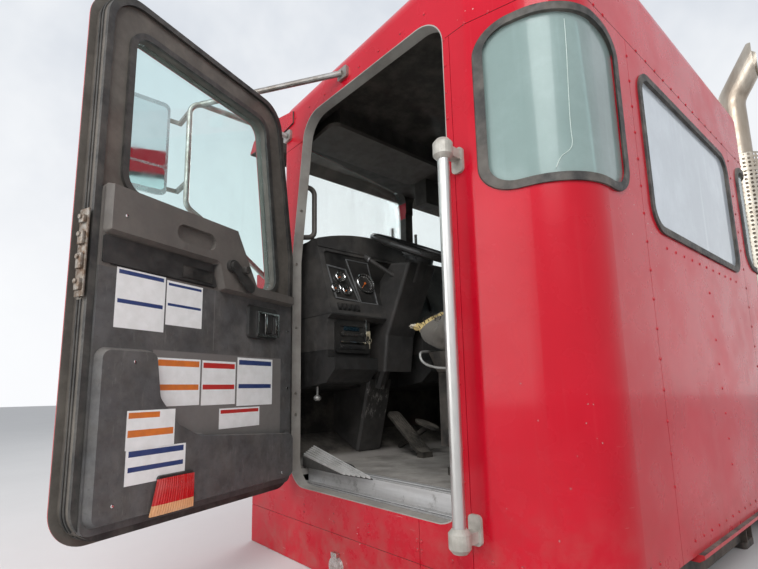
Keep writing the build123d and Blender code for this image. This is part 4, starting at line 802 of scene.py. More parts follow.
class CAB_OT_door_fittings(bpy.types.Operator):
    """Adds the lens with its painted glow, release, winder knob, latch and screws to both doors.
    """

    bl_idname = "cab.door_fittings"
    bl_label = "Door fittings"

    def execute(self, context):
        sizes = context.scene.cab_sizes
        inner = skins("door_trim_right", "door_fittings_right")

        def level(y, z):
            """Where the shut door's trim stands towards the cab, on the driver's side."""
            return -touch(inner, (-0.6, y, z), (-1, 0, 0))[0].x

        # Both lenses carry a painted glow in their own colour
        red = lens("lens_red_glow", (0.55, 0.010, 0.012))
        amber = lens("lens_amber_glow", (0.80, 0.42, 0.20))
        chrome = coated("trim_chrome", (0.80, 0.80, 0.80), (0.66, 0.66, 0.65), metal=1.0,
                        rough=(0.08, 0.25), patch=40.0, dust=0.15)
        black = coated("switch_black", (0.012, 0.012, 0.012), (0.024, 0.023, 0.022),
                       rough=(0.3, 0.5), patch=30.0, dust=0.3)
        zinc = coated("latch_zinc", (0.30, 0.28, 0.25), (0.12, 0.07, 0.04), metal=0.75,
                      rough=(0.4, 0.7), patch=60.0, grain=500.0, dust=0.4)
        for side in ("left", "right"):
            # The lens has upright ribs, and its lowest quarter is amber
            surface = min(level(0.10, 0.36), level(0.17, 0.33))
            piece = start("grid", f"door_lens_{side}", x_subdivisions=14, y_subdivisions=96,
                          size=1, rotation=(0, -math.pi / 2, 0), scale=(0.088, 0.112, 1))
            for vertex in piece.data.vertices:
                y, z = vertex.co.y, vertex.co.z
                crown = 0.004 * (1 - (y / 0.056) ** 4) * (1 - (z / 0.044) ** 4)
                rib = 0.0008 * abs(math.sin(y * 480.0))
                lean = 0.010 * (z / 0.044) * (0.5 + y / 0.112)
                vertex.co = (surface - 0.002 - crown - rib, 0.1300 + 1.12 * y - lean, 0.3480 + z)
            for face in piece.data.polygons:
                face.material_index = int(face.center.z < 0.329)
            modify(piece, "SOLIDIFY", thickness=0.006, offset=0)
            outward(piece)
            wear(hang(piece, side), f"door_{side}", "charcoal", red, amber)

            # The release: a dark cup with bright ends and a lever
            face = level(-0.262, 0.80)
            parts = [border(f"release_rim_{side}", [
                (face - 0.003, -0.206, 0.798), (face - 0.003, -0.318, 0.798),
                (face - 0.003, -0.318, 0.884), (face - 0.003, -0.206, 0.884)], 0.006, 0.004)]
            parts.append(brick("lever", (face - 0.010, -0.250, 0.806),
                               (face - 0.004, -0.238, 0.876), 0.002))
            parts.append(brick("lever", (face - 0.007, -0.306, 0.812),
                               (face - 0.001, -0.296, 0.870), 0.002))
            piece = joined(parts, f"release_rim_{side}")
            wear(hang(piece, side), f"door_{side}", "steel", chrome)

            # The winder's knob points into the cab
            at = (level(-0.100, 1.000), -0.100, 1.000)
            knob = joined([
                post("knob", 0.008, 0.026, facing((at[0] - 0.013, at[1], at[2]), (-1, 0, 0)),
                     0.001, 20),
                post("knob", 0.0135, 0.022, facing((at[0] - 0.030, at[1], at[2]), (-1, 0, 0)),
                     0.006, 24)], f"winder_knob_{side}")
            wear(hang(knob, side), f"door_{side}", "charcoal", black)

            # A bare badge plate in its thin frame
            face = level(0.050, 0.960)
            piece = joined([
                brick("plate", (face - 0.0016, -0.002, 0.943), (face, 0.112, 0.979), 0.0006),
                border("plate", [(face - 0.002, 0.112, 0.943), (face - 0.002, -0.002, 0.943),
                                 (face - 0.002, -0.002, 0.979), (face - 0.002, 0.112, 0.979)],
                       0.002, 0.0015)], f"badge_plate_{side}")
            wear(hang(piece, side), f"door_{side}", "charcoal", black)

            # Latch plate, claw and bolts on the door's rear edge
            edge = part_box("door_lock_right")[1].y
            parts = [brick("latch", (SIDE_X - 0.046, edge - 0.001, 0.842),
                           (SIDE_X - 0.010, edge + 0.004, 1.064), 0.0015)]
            for z, tall in ((0.872, 0.030), (0.930, 0.040), (0.988, 0.034), (1.036, 0.020)):
                parts.append(brick("latch", (SIDE_X - 0.040, edge + 0.002, z - tall / 2),
                                   (SIDE_X - 0.018, edge + 0.012, z + tall / 2), 0.003))
                parts.append(post("latch", 0.0065, 0.008, facing(
                    (SIDE_X - 0.026, edge + 0.012, z + tall / 4), (0, 1, 0)), 0.002, 12))
            piece = joined(parts, f"latch_{side}")
            wear(hang(piece, side), f"door_{side}", "steel", zinc)

            # Trim screws
            heads = [post("screw", sizes.screw_radius, 0.003, facing(
                (level(y, z) - 0.001, y, z), (-1, 0, 0)), 0.001, 12) for y, z in (
                    (0.262, 0.690), (0.300, 0.350), (-0.330, 0.330), (-0.385, 0.620),
                    (-0.385, 0.830), (0.310, 1.060))]
            wear(hang(joined(heads, f"trim_screws_{side}"), side), f"door_{side}", "steel",
                 chrome)
        return {"FINISHED"}


def lens(name, colour):
    """Clear coloured plastic with a painted glow: it gives off faint light in its own colour."""
    material, tree, shader = blank(name)
    where = place_on(tree)
    shade = tint(tree, noise(tree, where, 60.0, 3.0), colour, tuple(0.7 * c for c in colour))
    dusty_glow_colour, _ = dusted(tree, shade, where, 0.3)
    tree.links.new(dusty_glow_colour, shader.inputs["Base Color"])
    # Painted glow: the dusty colour is also given off as faint light
    tree.links.new(dusty_glow_colour, shader.inputs["Emission Color"])
    shader.inputs["Emission Strength"].default_value = 0.12
    shader.inputs["Roughness"].default_value = 0.18
    shader.inputs["Coat Weight"].default_value = 0.6
    return material


class CAB_OT_instruments(bpy.types.Operator):
    """Fills the dash with gauges, frames, switches and the radio."""

    bl_idname = "cab.instruments"
    bl_label = "Instruments"

    def execute(self, context):
        panel = skins("instrument_panel", "dash")

        def face(across, rise, lift=0.0):
            """A place on the sloping face, its Z axis standing out of it."""
            aim = FACE_MIDDLE + Vector((across, 0, 0)) + FACE_UP * rise
            point, _ = touch(panel, aim + FACE_OUT * 0.045, -FACE_OUT)
            turn = Matrix((Vector((-1, 0, 0)), FACE_UP, FACE_OUT)).transposed().to_4x4()
            return Matrix.Translation(point + FACE_OUT * lift) @ turn

        chrome = coated("gauge_chrome", (0.82, 0.82, 0.81), (0.70, 0.70, 0.69), metal=1.0,
                        rough=(0.06, 0.2), patch=40.0)
        silver = coated("panel_silver", (0.46, 0.47, 0.48), (0.34, 0.34, 0.34), metal=0.8,
                        rough=(0.3, 0.5), patch=30.0, dust=0.3)
        dial = coated("dial_black", (0.010, 0.010, 0.011), (0.016, 0.016, 0.016),
                      rough=(0.4, 0.5), patch=60.0, dust=0.2)
        mark = coated("dial_marks", (0.72, 0.72, 0.68), (0.62, 0.62, 0.58), rough=(0.5, 0.6),
                      patch=90.0)
        needle = coated("needle_orange", (0.70, 0.16, 0.02), (0.60, 0.13, 0.02),
                        rough=(0.4, 0.5), patch=90.0)
        rims, dials, marks, needles = [], [], [], []
        # Place across, place up, radius and the needle's angle of each gauge
        gauges = ((0.771, 0.005, 0.025, 205), (0.806, -0.052, 0.023, 190),
                  (0.752, -0.056, 0.023, 215), (0.637, -0.006, 0.048, 228),
                  (0.385, 0.036, 0.027, 200), (0.385, -0.038, 0.027, 210))
        for across, rise, radius, angle in gauges:
            place = face(across, rise)
            rim = start("torus", "rim", major_radius=radius - 0.0025, minor_radius=0.0030,
                        major_segments=32, minor_segments=8, scale=(1, 1, 1.6))
            rim.data.transform(face(across + radius - 0.0025, rise) @ Matrix.Translation(
                (radius - 0.0025, 0, 0)))
            rims.append(rim)
            dials.append(post("dial", radius - 0.0052, 0.001, place @ Matrix.Translation(
                (0, 0, 0.0006)), 0.0, 32))
            count = 21 if radius > 0.04 else 9
            for i in range(count):
                turn = math.radians(225 - 270 * i / (count - 1))
                long = radius * (0.18 if i % (5 if count > 9 else 4) == 0 else 0.10)
                reach = radius * 0.80 - long / 2
                tick = brick("tick", (-long / 2, -0.0006, 0), (long / 2, 0.0006, 0.0005))
                tick.data.transform(place @ Matrix.Rotation(turn, 4, "Z")
                                    @ Matrix.Translation((reach, 0, 0.0012)))
                marks.append(tick)
            hand = brick("hand", (-radius * 0.16, -0.0010, 0), (radius * 0.70, 0.0010, 0.0008))
            hand.data.transform(place @ Matrix.Rotation(math.radians(angle), 4, "Z")
                                @ Matrix.Translation((0, 0, 0.0022)))
            needles.append(hand)
            needles.append(post("hub", radius * 0.11, 0.002, place @ Matrix.Translation(
                (0, 0, 0.0030)), 0.0006, 14))
        for parts, name, slot, material in (
                (rims, "gauge_rims", "chrome", chrome), (dials, "gauge_dials", "charcoal", dial),
                (marks, "gauge_marks", "charcoal", mark),
                (needles, "gauge_needles", "charcoal", needle)):
            wear(joined(parts, name), "cab", slot, material)

        def corners(*places):
            """The corners of a frame that lies on the face."""
            return [face(across, rise, 0.0015).to_translation() for across, rise in places]

        frames = [
            border("frame", corners((0.829, 0.058), (0.728, 0.050), (0.697, -0.108),
                                    (0.814, -0.098)), 0.006, 0.003),
            border("frame", corners((0.715, 0.104), (0.590, 0.104), (0.590, -0.106),
                                    (0.686, -0.106)), 0.004, 0.003),
        ]
        wear(joined(frames, "panel_frames"), "cab", "chrome", silver)

        # Rocker caps on the switch row
        caps = []
        for i in range(5):
            cap = brick("cap", (-0.0065, -0.0115, 0), (0.0065, 0.0115, 0.004), 0.0015)
            cap.data.transform(face(0.832 - 0.066 + (i - 2) * 0.023, -0.138))
            caps.append(cap)
        wear(joined(caps, "switch_caps"), "cab", "charcoal", dial)

        # The radio: screen, knobs, buttons and a bright edge at its right and under it
        front = touch(panel, (0.738, 0.0, 0.850), (0, -1, 0))[0].y
        screen = coated("radio_screen", (0.012, 0.030, 0.045), (0.008, 0.018, 0.024),
                        rough=(0.08, 0.15), patch=50.0, coat=0.5)
        wear(brick("radio_screen", (0.700, front - 0.001, 0.846), (0.782, front + 0.003, 0.884),
                   0.002), "cab", "charcoal", screen)
        parts = [post("knob", 0.008, 0.012, facing((x, front + 0.006, 0.832), (0, 1, 0)),
                      0.002, 20) for x in (0.690, 0.790)]
        parts += [brick("button", (0.703 + i * 0.013, front, 0.826),
                        (0.713 + i * 0.013, front + 0.004, 0.835), 0.001) for i in range(6)]
        wear(joined(parts, "radio_knobs"), "cab", "charcoal", dial)
        edge = touch(panel, (0.655, 0.0, 0.850), (0, -1, 0))[0].y
        trims = [brick("trim", (0.665, edge - 0.001, 0.800), (0.673, edge + 0.004, 0.899), 0.002),
                 brick("trim", (0.665, edge - 0.001, 0.796), (0.800, edge + 0.004, 0.803),
                       0.002)]
        wear(joined(trims, "radio_trim"), "cab", "chrome", chrome)
        slats = [brick("slat", (0.672 + i * 0.0105, edge - 0.002, 0.772),
                       (0.678 + i * 0.0105, edge + 0.004, 0.788), 0.001) for i in range(13)]
        wear(joined(slats, "dash_louvres"), "cab", "charcoal", dial)

        # A pale twist ring on the stalk's end
        tip = Vector((0.6555, -0.3046, 1.1624))
        along = Vector((0.72, -0.43, 0.54)).normalized()
        parts = [post("ring", 0.0115, 0.010, facing(tip - along * 0.004, along), 0.002, 24),
                 post("ring", 0.0060, 0.004, facing(tip + along * 0.003, along), 0.001, 20)]
        wear(joined(parts, "stalk_ring"), "cab", "charcoal", silver)

        # The key hangs from its lock beside the radio
        at = Vector((0.660, edge + 0.004, 0.838))
        parts = [post("lock", 0.011, 0.008, facing(at, (0, 1, 0)), 0.002, 20),
                 brick("bow", at + Vector((-0.002, 0.006, -0.024)),
                       at + Vector((0.002, 0.012, 0.012)), 0.0012),
                 brick("blade", at + Vector((-0.0012, 0.008, -0.062)),
                       at + Vector((0.0022, 0.0105, -0.030)), 0.0006)]
        ring = start("torus", "ring", major_radius=0.011, minor_radius=0.0008,
                     major_segments=24, minor_segments=6)
        ring.data.transform(Matrix.Translation(at + Vector((0, 0.009, -0.031)))
                            @ Matrix.Rotation(math.radians(80), 4, "Y"))
        brass = coated("key_brass", (0.62, 0.56, 0.42), (0.48, 0.42, 0.30), metal=0.6,
                       rough=(0.3, 0.5), patch=60.0)
        wear(joined(parts + [ring], "door_key"), "cab", "chrome", brass)
        return {"FINISHED"}


class CAB_OT_shield(bpy.types.Operator):
    """Makes the pierced heat shield round the exhaust stack, with its brackets."""

    bl_idname = "cab.shield"
    bl_label = "Heat shield"

    def execute(self, context):
        around = context.scene.cab_sizes.shield_holes
        low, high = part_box("exhaust_shield")
        centre = Vector((low.x + 0.100, high.y - 0.100, 0))
        radius = 0.0985
        across = 2 * math.pi * radius / around
        rows = round((high.z - low.z) / (across * 0.92))
        tall = (high.z - low.z) / rows
        # One cell of sheet with an eight-sided hole, made flat
        cell = start("plane", "cell", size=1, scale=(across, tall, 1))
        pick(cell)
        bpy.ops.mesh.subdivide(number_cuts=1)
        bpy.ops.mesh.select_all(action="SELECT")
        bpy.ops.mesh.inset(thickness=0.0048, use_boundary=True)
        bpy.ops.mesh.delete(type="FACE")
        leave()
        reach = 0.30 * across
        for vertex in cell.data.vertices:
            if abs(vertex.co.x) < across / 2 - 0.001 and abs(vertex.co.y) < tall / 2 - 0.001:
                flat = Vector((vertex.co.x, vertex.co.y, 0))
                vertex.co = flat.normalized() * reach
        cell.data.transform(Matrix.Translation((across / 2, tall / 2, 0)))
        for count, step in ((around, (across, 0, 0)), (rows, (0, tall, 0))):
            modify(cell, "ARRAY", count=count, use_relative_offset=False,
                   use_constant_offset=True, constant_offset_displace=step)
        # The flat sheet is rolled round the stack
        for vertex in cell.data.vertices:
            angle = vertex.co.x / radius
            vertex.co = (centre.x + radius * math.cos(angle), centre.y + radius * math.sin(angle),
                         low.z + vertex.co.y)
        outward(cell)
        modify(cell, "SOLIDIFY", thickness=0.0016, offset=-1)
        rings = []
        for z in (low.z, high.z):
            ring = start("torus", "ring", major_radius=radius - 0.0005, minor_radius=0.002,
                         major_segments=48, minor_segments=8, location=(centre.x, centre.y, z))
            rings.append(ring)
        for z in (0.850, 1.682):
            bracket = brick("bracket", (centre.x + 0.094, centre.y - 0.062, z),
                            (high.x, centre.y - 0.012, z + 0.008), 0.002)
            rings.append(bracket)
            band = start("torus", "band", major_radius=radius + 0.0005, minor_radius=0.0015,
                         major_segments=48, minor_segments=6, scale=(1, 1, 6),
                         location=(0, 0, 0))
            band.data.transform(Matrix.Translation((centre.x, centre.y, z + 0.004)))
            rings.append(band)
        steel = coated("shield_steel", (0.62, 0.58, 0.50), (0.44, 0.38, 0.30), metal=0.85,
                       rough=(0.3, 0.5), patch=9.0, grain=200.0)
        piece = joined([cell] + rings, "heat_shield")
        wear(piece, "cab", "chrome", steel)
        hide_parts("exhaust_shield")
        return {"FINISHED"}


class CAB_OT_seats(bpy.types.Operator):
    """Makes the two seats' pads by cloth simulation, the driver's torn at its front corner."""

    bl_idname = "cab.seats"
    bl_label = "Seats"

    def execute(self, context):
        colours = context.scene.cab_colours
        cloth = seat_cloth("seat_cloth", tuple(colours.cloth))
        foam = seat_foam("seat_foam", tuple(colours.foam))
        dark = coated("torn_edge", (0.030, 0.026, 0.022), (0.060, 0.050, 0.042),
                      rough=(0.7, 0.9), patch=60.0, grain=600.0, bump=0.4)
        low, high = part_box("seat_cushions")
        inner, outer = 0.252, high.x - 0.010
        cushion = profiled("driver_cushion", [
            (0.006, 0.838), (0.036, 0.776), (0.100, 0.748), (0.488, 0.748), (0.488, 0.856),
            (0.300, 0.868), (0.150, 0.872), (0.060, 0.854)], inner, outer, 0.018)
        stuffed(cushion, 0.022)
        back_low, back_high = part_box("seat_backs")
        back = profiled("driver_back", [
            (back_low.y + 0.014, back_low.z + 0.012), (back_high.y - 0.012, back_low.z + 0.012),
            (back_high.y - 0.012, back_high.z - 0.050), (back_high.y - 0.036, back_high.z - 0.014),
            (back_low.y + 0.040, back_high.z - 0.014), (back_low.y + 0.014, back_high.z - 0.060)],
            inner, outer, 0.022)
        stuffed(back, 0.018)
        middle = (inner + outer) / 2
        sewn(cushion, [(0, middle - 0.135), (0, middle + 0.135), (1, 0.120)], 0.007, 0.007,
             Vector((0, 0, 1)))
        sewn(back, [(0, middle - 0.135), (0, middle + 0.135), (2, 1.02), (2, 1.16), (2, 1.30)],
             0.007, 0.007, Vector((0, -1, 0)))
        for pad in (cushion, back):
            keep_inside(pad, low.z, back_high)
        made = []
        for pad, name in ((cushion, "passenger_cushion"), (back, "passenger_back")):
            twin = pad.copy()
            twin.data = pad.data.copy()
            bpy.context.scene.collection.objects.link(twin)
            twin.name = twin.data.name = name
            twin.data.transform(MIRRORED)
            outward(twin)
            made.append(twin)
        tear(cushion)
        for pad in (cushion, back, *made):
            if pad is not cushion:
                modify(pad, "SUBSURF", levels=1, render_levels=1)
            wear(pad, "cab", "seat_cloth", cloth, foam, angle=60.0)
            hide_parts("seat_backs" if "back" in pad.name else "seat_cushions")

        # Piping round each cushion, and the torn cover's threads
        for pad in (cushion, made[0]):
            tree = tree_of(pad.data)
            side = 1 if pad is cushion else -1
            ring = []
            for i in range(72):
                turn = 2 * math.pi * i / 72
                aim = Vector((math.cos(turn), math.sin(turn), 0))
                target = Vector((side * middle, 0.25, 0.846 + 0.020 * min(1, max(
                    0, 0.5 + aim.y * -0.2))))
                hit = tree.ray_cast(target + aim * 0.8, -aim)
                ring.append(hit[0] + aim * 0.001)
            if side == 1:
                ring = [place for place in ring
                        if not (place.x > 0.66 and place.y < 0.17)]
                first = max(range(len(ring)), key=lambda i: (
                    ring[i] - ring[i - 1]).length)
                ring = ring[first:] + ring[:first]
            wear(tube(f"{pad.name}_piping", ring, 0.0042, 3, side == -1), "cab",
                 "seat_cloth", dark)
        wear(threads(cushion), "cab", "seat_cloth", dark)
        fluff = coated("foam_fluff", (0.78, 0.72, 0.60), (0.62, 0.55, 0.42),
                       rough=(0.9, 1.0), patch=80.0)
        chance = random.Random(3)
        tufts = []
        for i in range(9):
            tip = Vector((0.712, 0.010, 0.836))
            aim = Vector((chance.uniform(-0.2, 0.8), -1, chance.uniform(-0.8, 0.5))).normalized()
            reach = chance.uniform(0.008, 0.020)
            side = Vector((0, chance.uniform(-0.003, 0.003), chance.uniform(-0.004, 0.004)))
            tufts.append(tube("tuft", [tip - aim * 0.008, tip + aim * reach * 0.5 + side,
                                       tip + aim * reach], 0.0011, 2))
        wear(joined(tufts, "foam_tufts"), "cab", "seat_cloth", fluff)
        lump = start("ico_sphere", "foam_lump", subdivisions=4, radius=1.0)
        for vertex in lump.data.vertices:
            swell = 1.0 + 0.22 * lumps.noise(vertex.co * 2.2)
            vertex.co = Vector((0.704, 0.022, 0.829)) + swell * Vector(
                (0.010 * vertex.co.x, 0.021 * vertex.co.y, 0.013 * vertex.co.z))
        wear(lump, "cab", "seat_cloth", foam)
        return {"FINISHED"}


def keep_inside(pad, low_z, high):
    """Stops a pad at the seat pan below it and at the seat's own rear."""
    for vertex in pad.data.vertices:
        vertex.co.z = max(vertex.co.z, low_z + 0.0005)
        vertex.co.y = min(vertex.co.y, high.y + 0.010)


def ridge(y):
    """Height of the cushion's outer top edge, and how wide the tear is there."""
    places = ((-0.020, 0.834), (0.056, 0.852), (0.108, 0.866), (0.163, 0.872), (0.260, 0.872))
    for (y0, z0), (y1, z1) in zip(places, places[1:]):
        if y <= y1:
            share = max(0.0, (y - y0) / (y1 - y0))
            return z0 + share * (z1 - z0), max(0.0035, 0.021 - 0.20 * max(0.0, y - 0.015))
    return places[-1][1], 0.0


def tear(cushion):
    """Opens the cover along the outer top edge, with lumpy foam showing."""
    modify(cushion, "SUBSURF", levels=1, render_levels=1)

    def open_at(place):
        """Whether the cover is torn away here."""
        height, wide = ridge(place.y)
        if place.x < TEAR_INNER_X or place.y > TEAR_REAR_Y:
            return False
        ragged = 0.003 * lumps.noise(place * 38.0) + 0.001 * lumps.noise(place * 150.0)
        return -2.0 * wide - ragged < place.z - height < 0.006 + ragged

    for vertex in cushion.data.vertices:
        if open_at(vertex.co):
            lump = lumps.noise(vertex.co * 60.0) + 0.4 * lumps.noise(vertex.co * 240.0)
            vertex.co += vertex.normal * (0.0010 + 0.0022 * lump)
            near = max(0.0, 1.0 - (vertex.co - TEAR_CORNER).length / 0.05)
            vertex.co += Vector((0.3, -1.0, -0.1)) * 0.014 * near * near
    for face in cushion.data.polygons:
        face.material_index = int(open_at(face.center))


def threads(cushion):
    """Frayed tongues of cover along the tear."""
    chance = random.Random(11)
    tree = tree_of(cushion.data)
    flaps = []
    for i in range(44):
        y = -0.004 + 0.0042 * i
        height, wide = ridge(y)
        if i % 4 == 3:
            hit = tree.ray_cast(Vector((1.2, y, height - 1.9 * wide)), Vector((-1, 0, 0)))
        else:
            hit = tree.ray_cast(Vector((0.706 + chance.uniform(-0.012, 0.006), y, 1.2)),
                                Vector((0, 0, -1)))
        if hit[0] is None:
            continue
        upper = i % 4 != 3
        flap = start("grid", "flap", x_subdivisions=1, y_subdivisions=4, size=1)
        long, wide_flap = chance.uniform(0.008, 0.022), chance.uniform(0.003, 0.007)
        fall = Vector((chance.uniform(0.0, 0.5), chance.uniform(-1.0, 0.5),
                       chance.uniform(0.2, 0.9) if upper else 0.6)).normalized()
        for vertex in flap.data.vertices:
            along = vertex.co.y + 0.5
            taper = 1.0 - 0.75 * along
            curl = Vector((0.35, 0, 0)) * along * along * long
            vertex.co = (hit[0] - Vector((0.002, 0, 0.0005)) + fall * along * long + curl
                         + Vector((0, 1, 0)) * vertex.co.x * wide_flap * taper)
        modify(flap, "SOLIDIFY", thickness=0.0009, offset=0)
        flaps.append(flap)
    return joined(flaps, "torn_threads")


def seat_cloth(name, colour):
    """Woven cover, dirty in patches, with an even sheen."""
    material, tree, shader, where = finish(
        name, colour, tuple(0.66 * c for c in colour), rough=(0.75, 0.95), patch=6.0,
        grain=800.0, bump=0.35, dust=0.3)
    across, along, upright = (
        add(tree, "TexWave", {"bands_direction": way}, Vector=where, Scale=260.0).outputs[1]
        for way in "XYZ")
    weave = math_of(tree, "ADD", math_of(tree, "ADD", across, along), upright)
    emboss(tree, shader, 0.4, 0.0006, weave)
    stains = between(tree, noise(tree, where, 4.0, 6.0, 0.7), 0.52, 0.72, 0.0, 0.5)
    over(tree, shader, stains, (0.07, 0.055, 0.04))
    shader.inputs["Sheen Weight"].default_value = 0.15
    return material


def seat_foam(name, colour):
    """Yellowed open foam with dark pores."""
    material, tree, shader, where = finish(
        name, colour, tuple(0.8 * c for c in colour), rough=(0.85, 1.0), patch=40.0,
        grain=300.0, bump=0.6)
    pores = add(tree, "TexVoronoi", {"feature": "F1"}, Vector=where, Scale=420.0)
    holes = between(tree, pores.outputs["Distance"], 0.12, 0.34, 0.55, 0.0)
    over(tree, shader, holes, (0.22, 0.13, 0.05))
    return material


class CAB_OT_small_parts(bpy.types.Operator):
    """Adds the glass bead, chips, bolts, the split mat with painted shade in its split, ramps, the
    pans' wires and a pull.
    """

    bl_idname = "cab.small_parts"
    bl_label = "Small parts"

    def execute(self, context):
        bead = coated("bead_silicone", (0.60, 0.68, 0.64), (0.46, 0.54, 0.50),
                      rough=(0.4, 0.6), patch=60.0)
        glass = skins("corner_glass")
        middle = Vector((ARC_X, ARC_Y, 0))
        points = []
        for x, y, z in ((0.842, 0.702, 1.545), (0.842, 0.702, 1.484), (0.846, 0.700, 1.378),
                        (0.850, 0.697, 1.241), (0.847, 0.699, 1.196), (0.859, 0.690, 1.178),
                        (0.872, 0.676, 1.168), (0.879, 0.668, 1.140)):
            aim = (Vector((x, y, 0)) - middle).normalized()
            start_at = middle + aim * 0.6 + Vector((0, 0, z))
            points.append(touch(glass, start_at, -aim)[0] + aim * 0.0012)
        wear(tube("glass_bead", points, 0.0009, 2), "cab", "gasket", bead)

        primer = coated("chip_primer", (0.46, 0.20, 0.19), (0.36, 0.12, 0.12),
                        rough=(0.6, 0.8), patch=90.0)
        body = skins("quarter_panels", "rear_wall", "side_panels")
        chance = random.Random(5)
        chips = []
        for y, z in ((0.594, 0.534), (0.649, 0.388), (0.689, 0.593), (0.689, 0.571),
                     (0.697, 0.570), (0.684, 0.529), (0.698, 0.496), (0.705, 0.486),
                     (0.665, 0.458), (0.620, 0.276), (0.560, 0.619), (0.510, 0.330)):
            point, normal = touch(body, (2, y, z), (-1, 0, 0))
            chip = start("circle", "chip", vertices=7, radius=chance.uniform(0.0010, 0.0024),
                         fill_type="NGON")
            for vertex in chip.data.vertices:
                vertex.co *= chance.uniform(0.6, 1.25)
            chip.data.transform(facing(point + normal * 0.0003, normal))
            modify(chip, "SOLIDIFY", thickness=0.0004, offset=0)
            chips.append(chip)
        wear(joined(chips, "paint_chips"), "cab", "paint", primer)

        zinc = coated("jamb_bolts", (0.34, 0.32, 0.29), (0.16, 0.13, 0.10), metal=0.7,
                      rough=(0.4, 0.6), patch=80.0, dust=0.4)
        jamb = skins("door_jambs")
        bolts = []
        for side in (-1, 1):
            for z in (0.52, 0.60, 0.86, 1.12, 1.34):
                point, normal = touch(jamb, (side * (SIDE_X - 0.020), 0.0, z), (0, -1, 0))
                bolts.append(post("bolt", 0.006, 0.006, facing(point, normal), 0.0015, 6))
        wear(joined(bolts, "jamb_bolts"), "cab", "steel", zinc)

        # The mat is split by the driver's doorway, with a raised lip along the split; the
        # near-black sheet over the split stands for the dark floor under it with painted shade in
        # the gap
        mat = skins("floor_mat", "floor_pan", "sill_plates")
        # Painted shade: the near-black colour of the sheet in the mat's split
        dark = coated("mat_edge", (0.016, 0.015, 0.014), (0.035, 0.030, 0.026),
                      rough=(0.8, 0.95), patch=50.0)
        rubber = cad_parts["floor_mat"].data.materials[0]
        split, lip = [], []
        for x, y, wide in ((0.704, -0.440, 0.001), (0.722, -0.392, 0.006),
                           (0.745, -0.335, 0.010), (0.775, -0.275, 0.009),
                           (0.812, -0.205, 0.004), (0.850, -0.135, 0.001)):
            place = touch(mat, (x, y, 0.5), (0, 0, -1))[0]
            split.append((place, wide))
            lip.append(place + Vector((-1.4 * wide, 0.7 * wide, 0.4 * wide)))
        shaded_gap = start("grid", "mat_split_shade", x_subdivisions=1, y_subdivisions=len(split) - 1)
        for index, vertex in enumerate(sorted(shaded_gap.data.vertices, key=lambda v: v.co.y)):
            place, wide = split[index // 2]
            side = 1 if vertex.co.x > 0 else -1
            vertex.co = place + Vector((1.1, -0.55, 0)) * wide * side + Vector((0, 0, 0.003))
        modify(shaded_gap, "SOLIDIFY", thickness=0.003, offset=0)
        outward(shaded_gap)
        wear(shaded_gap, "cab", "mat", dark)
        wear(tube("mat_lip", lip, 0.0034, 3), "cab", "mat", rubber)

        # A ribbed ramp lies in the front corner of each doorway
        ribs = coated("step_ribs", (0.66, 0.65, 0.63), (0.42, 0.41, 0.39), metal=0.3,
                      rough=(0.5, 0.75), patch=14.0, dust=0.4, tone=(0.50, 0.48, 0.45))
        grooves = coated("step_grooves", (0.050, 0.048, 0.045), (0.030, 0.028, 0.026),
                         rough=(0.7, 0.9), patch=30.0, dust=0.12)
        low = touch(mat, (0.82, -0.30, 0.5), (0, 0, -1))[0].z
        corners = [Vector(place) for place in (
            (0.826, -0.456, 0.390), (0.882, -0.456, 0.358),
            (0.874, -0.040, low + 0.002), (0.890, -0.190, low + 0.002))]

        def ramp(piece, high):
            """Maps a unit block onto the ramp, to this height over its top."""
            for vertex in piece.data.vertices:
                across, along, up = vertex.co
                front = corners[0].lerp(corners[1], across)
                place = front.lerp(corners[2].lerp(corners[3], across), along)
                place.z = place.z + high * up if high else low + (place.z - low) * up - 0.001
                vertex.co = place
            return piece

        for side, name in ((1, "driver_step"), (-1, "passenger_step")):
            wedge = ramp(brick(f"{name}_ramp", (0, 0, 0), (1, 1, 1), 0.02), 0.0)
            strips = [ramp(brick("rib", (place - 0.038, 0.01, -0.3), (place + 0.038, 0.99, 1),
                                 0.01), 0.006) for place in (0.1, 0.26, 0.42, 0.58, 0.74, 0.9)]
            strips = joined(strips, f"{name}_ribs")
            for piece, material in ((wedge, grooves), (strips, ribs)):
                piece.data.transform(Matrix.Scale(side, 4, (1, 0, 0)))
                outward(piece)
                wear(piece, "cab", "aluminium", material)

        # Bright wire round each seat pan, and the knob under the dash's end
        wire = coated("seat_wire", (0.52, 0.52, 0.50), (0.34, 0.33, 0.31), metal=0.6,
                      rough=(0.35, 0.6), patch=50.0, dust=0.2)
        for side, name in ((1, "driver_pan_wire"), (-1, "passenger_pan_wire")):
            places = [Vector((side * x, y, z)) for x, y, z in (
                (0.400, 0.046, 0.742), (0.690, 0.040, 0.742), (0.722, 0.042, 0.735),
                (0.724, 0.050, 0.705), (0.724, 0.090, 0.684), (0.724, 0.170, 0.673),
                (0.724, 0.420, 0.673))]
            wear(tube(name, places, 0.0045, 3), "cab", "steel", wire)
        dash = skins("dash")
        top = touch(dash, (0.815, -0.450, 0.3), (0, 0, 1))[0]
        parts = [post("pull", 0.005, 0.040, Matrix.Translation(top - Vector((0, 0, 0.018))),
                      0.001, 12),
                 start("uv_sphere", "pull", segments=20, ring_count=12, radius=0.016,
                       location=top - Vector((0, 0, 0.046)), scale=(1, 1, 0.8))]
        wear(joined(parts, "dash_pull"), "cab", "chrome", wire)
        return {"FINISHED"}


